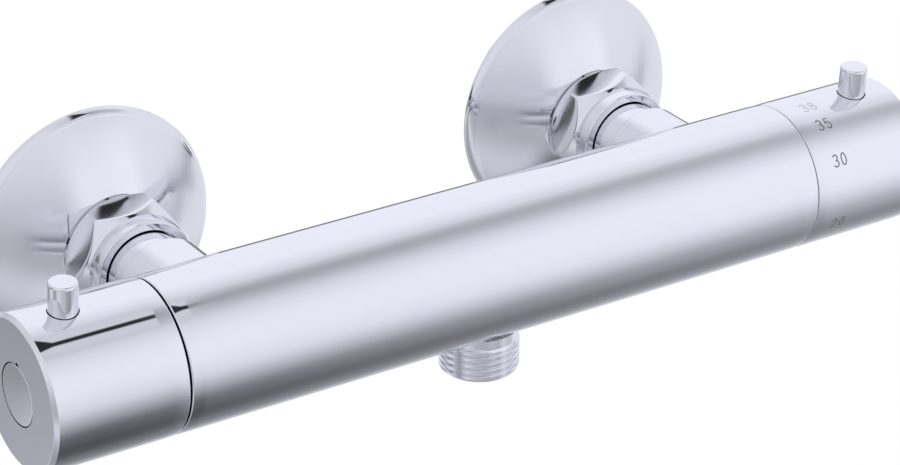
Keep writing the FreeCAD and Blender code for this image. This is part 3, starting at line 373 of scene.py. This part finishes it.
# The bar between the seams, its open ends, the outlet's hole under its middle and the two bosses behind.
def makeBar():
    end, edge, hole, boss = barSizes["end"], barSizes["edge"], outletHole, bossSizes
    tip = tubeSizes["radius"] - tubeSizes["polishDrop"]
    bore, floor = barSizes["boreRadius"], end - barSizes["boreDepth"]
    well = [(hole["top"], hole["radius"], 0), (hole["floor"], hole["radius"], 0),
            (hole["floor"], hole["boreRadius"], 0), (hole["boreFloor"], hole["boreRadius"], 0),
            (hole["boreFloor"], 0.0, 0)]
    blocks, angles = holedTube(barLine, -end + edge, end - edge, barSizes["columns"], 0.0, math.pi, well)
    rows = profile([(end - edge, tip, 0), (end, tip, edge), (end, bore, barSizes["boreEdge"]),
                    (floor, bore, 0), (floor, 0, 0)])
    blocks += [revolveAt(barLine, rows, angles), revolveAt(barLine, mirrored(rows), angles)]
    bossFloor = boss["end"] - boss["holeDepth"]
    for line in inletLines.values():
        blocks.append(revolve(line, profile([
            (boss["start"], 0, 0), (boss["start"], boss["radius"], 0),
            (boss["end"], boss["radius"], boss["edge"]), (boss["end"], boss["hole"], 0),
            (bossFloor, boss["hole"], 0), (bossFloor, 0, 0)])))
    makePiece("bar_body", blocks, "valve", "valve_body")


makeBar()
print("bar done")

# seam is the gap that shows between a handle and the bar. Places along the bar count from its middle, and a
# button's hole, top and foot from the bar's axis.
controls = {"flow": {"sign": -1.0, "seam": 0.5, "seamEdge": 0.4},
            "temperature": {"sign": 1.0, "seam": 0.07, "seamEdge": 0.15}}
handleSizes = {"end": 131.3, "bevel": 1.0, "bevelEdge": 0.3, "bore": 17.4, "boreEdge": 0.2,
               "innerEnd": 127.3, "faceRing": 14.0, "faceRows": 5, "recess": 8.1, "recessFloor": 126.6,
               "notch": 0.8, "notchDepth": 1.0, "columns": 420}
buttonSizes = {"along": 119.2, "angle": 5.0, "hole": 3.95, "holeTop": 17.5, "holeFloor": 16.6,
               "radius": 3.7, "top": 28.0, "foot": 13.0, "edge": 0.7, "edgeSteps": 10, "columns": 96}
capSizes = {"radius": 7.8, "edge": 0.2, "dome": 0.25, "rows": 24}


# A handle is a cup that opens towards the bar, with a hole for its button and a recess for its cap.
# The recess has a half-round notch in line with the button. At an angle d from it, its edge is at
# r = R cos(d) + sqrt(n^2 - R^2 sin(d)^2) for a recess R and a notch n, and elsewhere at R.
def makeHandle(name, line, values):
    sizes, button = handleSizes, buttonSizes
    start, end, edge = barSizes["end"] + values["seam"], sizes["end"], values["seamEdge"]
    tip = tubeSizes["radius"] - tubeSizes["polishDrop"]
    bevelStart, recess = end - sizes["bevel"], sizes["recess"]
    well = [(button["holeTop"], button["hole"], 0), (button["holeFloor"], button["hole"], 0),
            (button["holeFloor"], 0, 0)]
    turn = values["sign"] * math.radians(button["angle"])
    blocks, angles = holedTube(line, start + edge, bevelStart, sizes["columns"], button["along"], turn, well)
    cup = [(sizes["innerEnd"], 0, 0), (sizes["innerEnd"], sizes["bore"], 0),
           (start, sizes["bore"], sizes["boreEdge"]), (start, tip, edge), (start + edge, tip, 0)]
    bevel = [(bevelStart, tip, 0), (end, tip - sizes["bevel"], sizes["bevelEdge"]),
             (end, sizes["faceRing"], 0)]
    blocks += [revolveAt(line, profile(corners), angles) for corners in (cup, bevel)]
    away = np.angle(np.exp(1j * (angles - turn)))
    depth = np.maximum(sizes["notch"] ** 2 - (recess * np.sin(away)) ** 2, 0)
    notched = (depth > 0) & (np.cos(away) > 0)
    rim = np.maximum(np.where(notched, recess * np.cos(away) + np.sqrt(depth), 0), recess)
    share = np.linspace(0, 1, sizes["faceRows"])[:, None]
    face = line.point(end, sizes["faceRing"] * (1 - share) + rim[None] * share, angles[None])
    ledge = end - sizes["notchDepth"]
    shelf = line.point(ledge, np.stack([rim, np.full_like(rim, recess)]), angles[None])
    wall = line.point(np.array([[end], [ledge]]), rim[None], angles[None])
    blocks += [flatBlock(face, line.direction), flatBlock(shelf, line.direction),
               gradientBlock(wall, line.origin - wall)]
    pocket = [(ledge, recess, 0), (sizes["recessFloor"], recess, 0), (sizes["recessFloor"], 0, 0)]
    blocks.append(revolveAt(line, profile(pocket), angles))
    makePiece(name + "_handle_shell", blocks, name + "_control", name + "_handle")


# A disc with a very flat dome: along = end + h * (1 - (r / R)^2).
def makeCap(name, line):
    sizes, end, floor = capSizes, handleSizes["end"], handleSizes["recessFloor"]
    face = sizes["radius"] - sizes["edge"]
    rows = profile([(floor, 0, 0), (floor, sizes["radius"], 0), (end, sizes["radius"], sizes["edge"]),
                    (end, face, 0)])
    radius = np.linspace(face, 0, sizes["rows"])
    rise = sizes["dome"] * (1 - (radius / face) ** 2)
    slope = 2 * sizes["dome"] * radius / face ** 2
    normal = unit(np.stack([np.ones_like(slope), slope], 1))
    dome = np.stack([end + rise, radius, normal[:, 0], normal[:, 1]], 1)
    makePiece(name + "_cap", [revolve(line, rows), revolve(line, dome)], name + "_control", name + "_end_cap")


# A round peg that stands on the handle and leans a little to the front.
def makeButton(name, sign):
    sizes = buttonSizes
    lean = math.radians(sizes["angle"])
    up = (0, -math.sin(lean), math.cos(lean))
    line = Line((sign * sizes["along"], -layout["wallToBar"], 0), up, (1, 0, 0))
    corners = [(sizes["foot"], 0, 0), (sizes["foot"], sizes["radius"], 0),
               (sizes["top"], sizes["radius"], sizes["edge"]), (sizes["top"], 0, 0)]
    rows = profile(corners, sizes["edgeSteps"])
    makePiece(name + "_stop_peg", [revolve(line, rows, sizes["columns"])], name + "_stop_button",
              name + "_stop_button")


for name, values in controls.items():
    handleLine = Line((0, -layout["wallToBar"], 0), (values["sign"], 0, 0), (0, 0, 1))
    makeHandle(name, handleLine, values)
    makeCap(name, handleLine)
    makeButton(name, values["sign"])
print("handles done")

# Places along an inlet count from the bar's axis towards the wall.
tailSizes = {"radius": 11.1, "start": 27.5, "shoulder": 43.0, "flange": 11.9, "flangeEdge": 0.2,
             "end": 45.5, "bore": 7.5, "bottom": 2.0}
nutSizes = {"neck": 13.7, "start": 40.0, "hexStart": 44.0, "end": 56.5, "lip": 11.45, "lipLength": 2.7,
            "lipEdge": 0.2, "edge": 0.5, "flats": 29.6, "endRadius": 14.2, "chamfer": 4.0, "bore": 13.3,
            "soft": 0.12, "leastCosine": 0.2, "rows": 120, "columns": 480}
nutTurns = {"left": 6.0, "right": 12.0}  # how far each nut is tightened
escutcheonSizes = {"wall": 70.0, "radius": 34.0, "rim": 67.3, "rimRadius": 32.2, "crown": 56.6,
                   "crownRadius": 14.6, "bulge": 1.0, "rimBulge": 0.3, "hole": 13.4, "holeEdge": 0.15,
                   "hub": 62.0, "hubStep": 0.1, "shell": 1.45, "rimShell": 0.6, "faceRows": 60,
                   "rimRows": 10, "columns": 240}


# A tube with a flange at its wall end, closed inside the boss.
def makeTail(side, line):
    sizes = tailSizes
    bottom = sizes["start"] + sizes["bottom"]
    rows = profile([(sizes["start"], 0, 0), (sizes["start"], sizes["radius"], 0),
                    (sizes["shoulder"], sizes["radius"], 0),
                    (sizes["shoulder"], sizes["flange"], sizes["flangeEdge"]),
                    (sizes["end"], sizes["flange"], sizes["flangeEdge"]), (sizes["end"], sizes["bore"], 0),
                    (bottom, sizes["bore"], 0), (bottom, 0, 0)])
    makePiece("tail_" + side, [revolve(line, rows)], "valve", "inlet_tail_" + side)


# The smaller of two lengths, rounded where they meet: (a + b) / 2 - sqrt(((a - b) / 2)^2 + soft^2).
def softLeast(first, second, soft):
    mean, half = (first + second) / 2, (first - second) / 2
    return mean - np.sqrt(half ** 2 + soft ** 2)


# The hexagon's radius is (a / 2) / cos(t), where t is the angle from the nearest flat's middle and a the
# width across flats. A cone cuts it at each end, and both meet in softened edges. leastCosine keeps the
# flats on the far side out.
def makeNut(side, line):
    sizes, soft = nutSizes, nutSizes["soft"]
    angles = anglesRound(sizes["columns"])
    angle = angles[None]
    along = np.linspace(sizes["hexStart"], sizes["end"], sizes["rows"])[:, None]
    turned, sixth = angle + math.radians(nutTurns[side]), math.radians(60)
    flats = [sizes["flats"] / 2 / np.maximum(np.cos(turned - sixth * count), sizes["leastCosine"])
             for count in range(6)]
    radius = flats[0]
    for other in flats[1:]:
        radius = softLeast(radius, other, soft)
    corner = sizes["flats"] / 2 / math.cos(sixth / 2)
    rise = (corner - sizes["endRadius"]) / sizes["chamfer"]
    for gap in (along - sizes["hexStart"], sizes["end"] - along):
        radius = softLeast(radius, sizes["endRadius"] + rise * gap, soft)
    front, back = radius[0], radius[-1]
    step = line.point(sizes["hexStart"], np.stack([np.full_like(front, sizes["neck"]), front]), angle)
    rear = line.point(sizes["end"], np.stack([back, np.full_like(back, sizes["bore"])]), angle)
    lipEnd = sizes["start"] + sizes["lipLength"]
    rows = profile([(sizes["end"], sizes["bore"], 0), (lipEnd, sizes["bore"], 0), (lipEnd, sizes["lip"], 0),
                    (sizes["start"], sizes["lip"], sizes["lipEdge"]),
                    (sizes["start"], sizes["neck"], sizes["edge"]), (sizes["hexStart"], sizes["neck"], 0)])
    blocks = [gradientBlock(line.point(along, radius, angle), line.vector(0.0, 1.0, angle)),
              flatBlock(step, -line.direction), flatBlock(rear, line.direction),
              revolveAt(line, rows, angles)]
    makePiece("nut_" + side, blocks, "valve", "union_nut_" + side)


# Profile rows of an arc between two corners that stands out from their chord by the bulge b. With h half
# the chord's length, the arc's radius is (h^2 + b^2) / 2b.
def bulgedArc(start, end, bulge, count):
    chord = end - start
    half = np.linalg.norm(chord) / 2
    out = np.array([chord[1], -chord[0]]) / (2 * half)
    arcRadius = (half ** 2 + bulge ** 2) / (2 * bulge)
    middle = (start + end) / 2 + out * (bulge - arcRadius)
    lean = math.asin(half / arcRadius)
    share = np.linspace(-lean, lean, count)[:, None]
    normal = np.cos(share) * out + np.sin(share) * chord / (2 * half)
    return np.concatenate([middle + arcRadius * normal, normal], axis=1)


# A hollow cone: its face from rim to crown and its rim from wall to face are bulged arcs.
def makeEscutcheon(side, line):
    sizes, shell = escutcheonSizes, escutcheonSizes["shell"]
    foot = np.array([sizes["wall"], sizes["radius"]])
    rim = np.array([sizes["rim"], sizes["rimRadius"]])
    crown = np.array([sizes["crown"], sizes["crownRadius"]])
    hubRadius = sizes["crownRadius"] - sizes["hubStep"]
    face = bulgedArc(rim, crown, sizes["bulge"], sizes["faceRows"])
    edge = bulgedArc(foot, rim, sizes["rimBulge"], sizes["rimRows"])
    inside = profile([(*crown, 0), (sizes["crown"], sizes["hole"], sizes["holeEdge"]),
                      (sizes["hub"], sizes["hole"], 0), (sizes["hub"], hubRadius, 0),
                      (sizes["crown"] + shell, hubRadius, 0),
                      (sizes["rim"] + sizes["rimShell"], sizes["rimRadius"] - shell, 0),
                      (sizes["wall"], sizes["radius"] - shell, 0), (*foot, 0)])
    blocks = [revolve(line, rows, sizes["columns"]) for rows in (face, edge, inside)]
    makePiece("wall_plate_" + side, blocks, "valve", "escutcheon_" + side, finishName="satin_chrome_plate")


for side, inletLine in inletLines.items():
    makeTail(side, inletLine)
    makeNut(side, inletLine)
    makeEscutcheon(side, inletLine)
print("inlets done")

# Places along the outlet count from the bar's axis downwards.
outletSizes = {"plain": 10.2, "start": 15.7, "shoulderEdge": 0.2, "threadStart": 20.4, "end": 30.0,
               "radius": 10.48, "depth": 0.55, "grooveShare": 0.5, "pitch": 1.814, "chamfer": 0.8,
               "bore": 7.0, "boreEdge": 0.3, "fade": 1.0, "columns": 144, "rows": 150}


# The nipple with its helical thread. The upper part g of a triangle wave of along / pitch - angle / full turn
# is the groove, rounded to g^2 (3 - 2g). It fades in over the first fade, and a chamfer cuts the end.
def makeOutlet():
    sizes = outletSizes
    line = Line((0, -layout["wallToBar"], 0), (0, 0, -1), (1, 0, 0))
    angles = anglesRound(sizes["columns"])
    angle = angles[None]
    along = np.linspace(sizes["threadStart"], sizes["end"], sizes["rows"])[:, None]
    wave = np.abs(2 * ((along / sizes["pitch"] - angle / fullTurn) % 1) - 1)
    groove = np.clip((wave - 1 + sizes["grooveShare"]) / sizes["grooveShare"], 0, 1)
    groove = groove * groove * (3 - 2 * groove)
    fade = np.clip((along - sizes["threadStart"]) / sizes["fade"], 0, 1)
    plainStep = (sizes["radius"] - sizes["plain"]) * (1 - fade)
    radius = sizes["radius"] - sizes["depth"] * groove * fade - plainStep
    chamfer = np.clip(along - sizes["end"] + sizes["chamfer"], 0, None)
    radius = np.minimum(radius, sizes["radius"] - chamfer)
    mouth = sizes["bore"] + sizes["boreEdge"]
    face = line.point(sizes["end"], np.stack([radius[-1], np.full_like(radius[-1], mouth)]), angle)
    rows = profile([(sizes["end"], mouth, 0), (sizes["end"] - sizes["boreEdge"], sizes["bore"], 0),
                    (sizes["start"], sizes["bore"], 0),
                    (sizes["start"], sizes["plain"], sizes["shoulderEdge"]),
                    (sizes["threadStart"], sizes["plain"], 0)])
    blocks = [gradientBlock(line.point(along, radius, angle), line.vector(0.0, 1.0, angle)),
              flatBlock(face, line.direction), revolveAt(line, rows, angles)]
    makePiece("outlet_thread", blocks, "valve", "outlet_nipple")


makeOutlet()
print("outlet done")

dialSizes = {"height": 3.6, "width": 1.9, "gap": 0.75, "stroke": 0.36, "proud": 0.03, "sunk": 0.05,
             "centre": 103.4, "arcPoints": 14}
# Each number's place round the bar, from the top towards the front, and its ink.
dialNumbers = {"38": {"turn": 8.4, "ink": "printed_pale_ink"},
               "35": {"turn": 29.5, "ink": "printed_grey_ink"},
               "30": {"turn": 60.4, "ink": "printed_grey_ink"},
               "20": {"turn": 114.4, "ink": "printed_grey_ink"}}


# Points of an elliptic arc, from one angle to another measured from +x.
def arcStroke(x, y, radiusX, radiusY, start, end):
    turn = np.radians(np.linspace(start, end, dialSizes["arcPoints"]))
    return np.stack([x + radiusX * np.cos(turn), y + radiusY * np.sin(turn)], 1)


# The strokes of each digit in a box one wide and one high.
digitStrokes = {
    "0": [arcStroke(0.5, 0.5, 0.5, 0.5, 0, 360)],
    "2": [np.concatenate([arcStroke(0.5, 0.72, 0.46, 0.28, 165, -30), [[0.02, 0.0], [1.0, 0.0]]])],
    "3": [np.concatenate([arcStroke(0.48, 0.76, 0.44, 0.24, 160, -90),
                          arcStroke(0.48, 0.26, 0.52, 0.26, 90, -160)])],
    "5": [np.concatenate([[[0.92, 1.0], [0.14, 1.0], [0.08, 0.55]],
                          arcStroke(0.48, 0.32, 0.52, 0.32, 130, -155)])],
    "8": [arcStroke(0.5, 0.76, 0.42, 0.24, -90, 270), arcStroke(0.5, 0.26, 0.5, 0.26, -270, 90)],
}


# One stroke as a thin ribbon on the temperature handle: x goes along the bar, y goes round it away from the
# front. Each side of the ribbon lies half a stroke beside its path, from sunk below the skin to proud of it.
def strokeBlocks(stroke, left, turn):
    sizes, radius = dialSizes, tubeSizes["radius"]
    box = [sizes["width"] - sizes["stroke"], sizes["height"] - sizes["stroke"]]
    path = stroke * box + sizes["stroke"] / 2
    way = unit(np.gradient(path, axis=0))
    beside = np.stack([-way[:, 1], way[:, 0]], 1) * sizes["stroke"] / 2
    edges = []
    for place in (path + beside, path - beside):
        angle = turn - (place[:, 1] - sizes["height"] / 2) / radius
        edges += [barLine.point(left + place[:, 0], radius + height, angle)
                  for height in (sizes["proud"], -sizes["sunk"])]
    top, foot, farTop, farFoot = edges
    up = barLine.vector(0.0, 1.0, turn - path[:, 1] / radius)
    across = unit(top - farTop)
    blocks = []
    for first, second, normal in ((top, farTop, up), (foot, farFoot, -up), (top, foot, across),
                                  (farTop, farFoot, -across)):
        blocks.append((np.stack([first, second]), normal, False))
    for tip, outward in ((0, -1), (-1, 1)):
        cap = np.array([[top[tip], farTop[tip]], [foot[tip], farFoot[tip]]])
        blocks.append((cap, np.cross(across[tip], up[tip]) * outward, False))
    return blocks


def makeNumber(text, turn, ink):
    sizes = dialSizes
    step = sizes["width"] + sizes["gap"]
    blocks = []
    for count, digit in enumerate(text):
        left = sizes["centre"] - sizes["width"] / 2 + (count - (len(text) - 1) / 2) * step
        for stroke in digitStrokes[digit]:
            blocks += strokeBlocks(stroke, left, math.radians(turn))
    makePiece("dial_" + text, blocks, "temperature_control", slotName="polymer_black", finishName=ink)


for text, values in dialNumbers.items():
    makeNumber(text, values["turn"], values["ink"])
print("dial done")

# What reflections see of the studio: its brightness by the height angle of a direction, seen from the
# side, with 0 to the front, 90 up and 180 to the wall. Each part of the studio has its own ramp.
studioRamps = {
    "middle": [(-180, 0.97), (-175, 0.85), (-168, 0.22), (-161, 0.16), (-155, 0.55), (-148, 0.84),
               (-138, 0.72), (-117, 0.37), (-92, 0.16), (-68, 0.11), (-44, 0.27), (-20, 0.70), (5, 0.92),
               (41, 0.92), (65, 0.72), (86, 0.41), (101, 0.73), (126, 1.00), (180, 0.97)],
    "right": [(-180, 0.97), (-175, 0.88), (-168, 0.28), (-161, 0.24), (-155, 0.65), (-148, 0.90),
              (-138, 0.80), (-117, 0.51), (-92, 0.31), (-68, 0.40), (-44, 0.63), (-20, 0.92), (5, 1.00),
              (41, 1.00), (65, 0.78), (86, 0.56), (101, 0.80), (126, 1.00), (180, 0.97)],
    "farRight": [(-180, 0.86), (-88, 0.86), (-75, 0.78), (-58, 0.62), (-38, 0.66), (-12, 0.82), (20, 0.88),
                 (180, 0.86)],
    "left": [(-180, 0.60), (-165, 0.40), (-156, 0.34), (-149, 0.40), (-139, 0.78), (-118, 0.60), (-95, 0.38),
             (-72, 0.55), (-60, 0.74), (-48, 0.70), (-31, 0.50), (0, 0.60), (35, 0.78), (70, 0.84),
             (100, 0.80), (125, 0.72), (150, 0.75), (180, 0.60)],
}
# The values of the direction's x between which the studio passes into that ramp.
studioTurns = {"right": (0.39, 0.60), "farRight": (0.64, 0.82), "left": (0.12, -0.25)}
# A dark stripe overhead. It fades in from xTo to xFrom and out from xLow to xGone, which are values of the
# direction's x. Left of xCentre it widens and drifts towards the wall, by so many degrees for each unit of x.
# A grey band lies round it, full up to bandFull degrees from its centre and gone at bandEdge.
darkStripe = {"centre": 84.7, "halfWidth": 3.1, "xCentre": 0.38, "widening": 85.0, "drift": 40.0, "soft": 1.4,
              "level": 0.03, "xFrom": 0.412, "xTo": 0.428, "xLow": 0.22, "xGone": 0.14, "bandEdge": 22.0,
              "bandFull": 10.0, "bandLevel": 0.72}
# A dark place at the far left, on the wall's side, between two height angles. It fades in from xTo to xFrom.
darkPlace = {"from": 138.0, "to": 185.0, "soft": 2.0, "xFrom": -0.90, "xTo": -0.83, "level": 0.03}
studioTint = (0.972, 0.985, 1.07, 1.0)  # a little blue, as daylight


def grey(level):
    return (level, level, level, 1.0)


# Only glossy rays see the ramps. To the camera and to all else the studio is plain white.
def makeWorld():
    world = bpy.data.worlds.new("studio")
    bpy.context.scene.world = world
    world.use_nodes = True
    tree = world.node_tree
    tree.nodes.clear()

    def blend(factor, first, second):
        return addNode(tree, "Mix", {"data_type": "RGBA"}, Factor=factor, i6=first, i7=second).outputs[2]

    def smooth(value, start, end):
        return addNode(tree, "MapRange", {"interpolation_type": "SMOOTHSTEP"}, Value=value, From_Min=start,
                       From_Max=end).outputs[0]

    def maths(operation, first, second=0.0, third=0.0):
        return addNode(tree, "Math", {"operation": operation}, i0=first, i1=second, i2=third).outputs[0]

    # The height angle is atan2(z, -y), and across is the direction's x.
    parts = addNode(tree, "SeparateXYZ", Vector=addNode(tree, "TexCoord").outputs["Generated"])
    height = maths("ARCTAN2", parts.outputs["Z"], maths("MULTIPLY", parts.outputs["Y"], -1.0))
    degrees = maths("DEGREES", height)
    share = addNode(tree, "MapRange", Value=height, From_Min=-math.pi, From_Max=math.pi).outputs[0]
    across = parts.outputs["X"]

    def ramp(part):
        node = addNode(tree, "ValToRGB", Fac=share)
        node.color_ramp.interpolation = "CARDINAL"
        elements = node.color_ramp.elements
        for count, (angle, level) in enumerate(studioRamps[part]):
            place = (angle + 180) / 360
            element = elements[count] if count < 2 else elements.new(place)  # a new ramp has two already
            element.position = place
            element.color = grey(level)
        return node.outputs[0]

    rightFrom, rightTo = studioTurns["right"]
    rightward = addNode(tree, "MapRange", Value=across, From_Min=rightFrom, From_Max=rightTo).outputs[0]
    level = blend(rightward, ramp("middle"), ramp("right"))

    stripe = darkStripe
    leftward = maths("MAXIMUM", maths("SUBTRACT", stripe["xCentre"], across), 0.0)
    middle = maths("MULTIPLY_ADD", leftward, stripe["drift"], stripe["centre"])
    width = maths("MULTIPLY_ADD", leftward, stripe["widening"], stripe["halfWidth"])
    away = maths("ABSOLUTE", maths("SUBTRACT", degrees, middle))
    inside = smooth(maths("SUBTRACT", away, width), stripe["soft"], -stripe["soft"])
    started = smooth(across, stripe["xTo"], stripe["xFrom"])
    lasting = smooth(across, stripe["xGone"], stripe["xLow"])
    fromCentre = maths("ABSOLUTE", maths("SUBTRACT", degrees, stripe["centre"]))
    band = smooth(fromCentre, stripe["bandEdge"], stripe["bandFull"])
    level = blend(maths("MULTIPLY", band, started), level, grey(stripe["bandLevel"]))
    shown = maths("MULTIPLY", maths("MULTIPLY", inside, started), lasting)
    level = blend(shown, level, grey(stripe["level"]))

    level = blend(smooth(across, *studioTurns["farRight"]), level, ramp("farRight"))
    level = blend(smooth(across, *studioTurns["left"]), level, ramp("left"))

    dark = darkPlace
    middle, half = (dark["from"] + dark["to"]) / 2, (dark["to"] - dark["from"]) / 2
    away = maths("ABSOLUTE", maths("SUBTRACT", degrees, middle))
    inside = smooth(away, half + dark["soft"], half - dark["soft"])
    shown = maths("MULTIPLY", inside, smooth(across, dark["xTo"], dark["xFrom"]))
    level = blend(shown, level, grey(dark["level"]))

    tinted = addNode(tree, "Mix", {"data_type": "RGBA", "blend_type": "MULTIPLY"}, Factor=1.0, i6=level,
                     i7=studioTint)
    glossy = addNode(tree, "LightPath").outputs["Is Glossy Ray"]
    light = addNode(tree, "Background", Color=blend(glossy, grey(1.0), tinted.outputs[2]), Strength=1.0)
    tree.links.new(light.outputs[0], addNode(tree, "OutputWorld").inputs["Surface"])


floorSizes = {"height": -0.12, "size": 12.0, "tone": 0.8}  # height and size in metres


# The floor gives the object light from below. The camera sees it white, and glossy rays pass through.
def makeFloor():
    half, height = floorSizes["size"] / 2, floorSizes["height"]
    corners = [(-half, -half, height), (half, -half, height), (half, half, height), (-half, half, height)]
    mesh = bpy.data.meshes.new("floor")
    mesh.from_pydata(corners, [], [(0, 1, 2, 3)])
    floor = bpy.data.objects.new("floor", mesh)
    bpy.context.scene.collection.objects.link(floor)
    material = bpy.data.materials.new("plain_white_floor")
    material.use_nodes = True
    tree = material.node_tree
    tree.nodes.clear()
    path = addNode(tree, "LightPath")
    matt = addNode(tree, "BsdfDiffuse", Color=grey(floorSizes["tone"]))
    clear = addNode(tree, "BsdfTransparent")
    white = addNode(tree, "Emission", Color=grey(1.0), Strength=1.0)
    unseen = addNode(tree, "MixShader", i0=path.outputs["Is Glossy Ray"], i1=matt.outputs[0],
                     i2=clear.outputs[0])
    surface = addNode(tree, "MixShader", i0=path.outputs["Is Camera Ray"], i1=unseen.outputs[0],
                      i2=white.outputs[0])
    tree.links.new(surface.outputs[0], addNode(tree, "OutputMaterial").inputs["Surface"])
    mesh.materials.append(material)


# The place is in metres and the turns are in radians: yaw to the right, pitch up, roll about the view.
cameraSizes = {"place": (-0.428632, -0.70748, 0.38797), "yaw": 0.600, "pitch": -0.452, "roll": 0.017,
               "lens": 134.4, "sensor": 36.0, "shiftX": -0.0614, "shiftY": -0.0262, "clipEnd": 20.0}


def makeCamera():
    sizes = cameraSizes
    yaw, pitch, roll = sizes["yaw"], sizes["pitch"], sizes["roll"]
    ahead = Vector((math.sin(yaw) * math.cos(pitch), math.cos(yaw) * math.cos(pitch), math.sin(pitch)))
    level = Vector((math.cos(yaw), -math.sin(yaw), 0))
    above = level.cross(ahead)
    right = level * math.cos(roll) + above * math.sin(roll)
    top = -level * math.sin(roll) + above * math.cos(roll)
    data = bpy.data.cameras.new("camera")
    data.lens, data.sensor_width = sizes["lens"], sizes["sensor"]
    data.shift_x, data.shift_y = sizes["shiftX"], sizes["shiftY"]
    data.clip_end = sizes["clipEnd"]
    camera = bpy.data.objects.new("camera", data)
    bpy.context.scene.collection.objects.link(camera)
    columns = (right, top, -ahead, Vector(sizes["place"]))
    camera.matrix_world = Matrix((*zip(*columns), (0, 0, 0, 1)))
    bpy.context.scene.camera = camera


makeWorld()
makeFloor()
makeCamera()
bpy.context.scene.view_settings.view_transform = "Standard"
print("studio done")
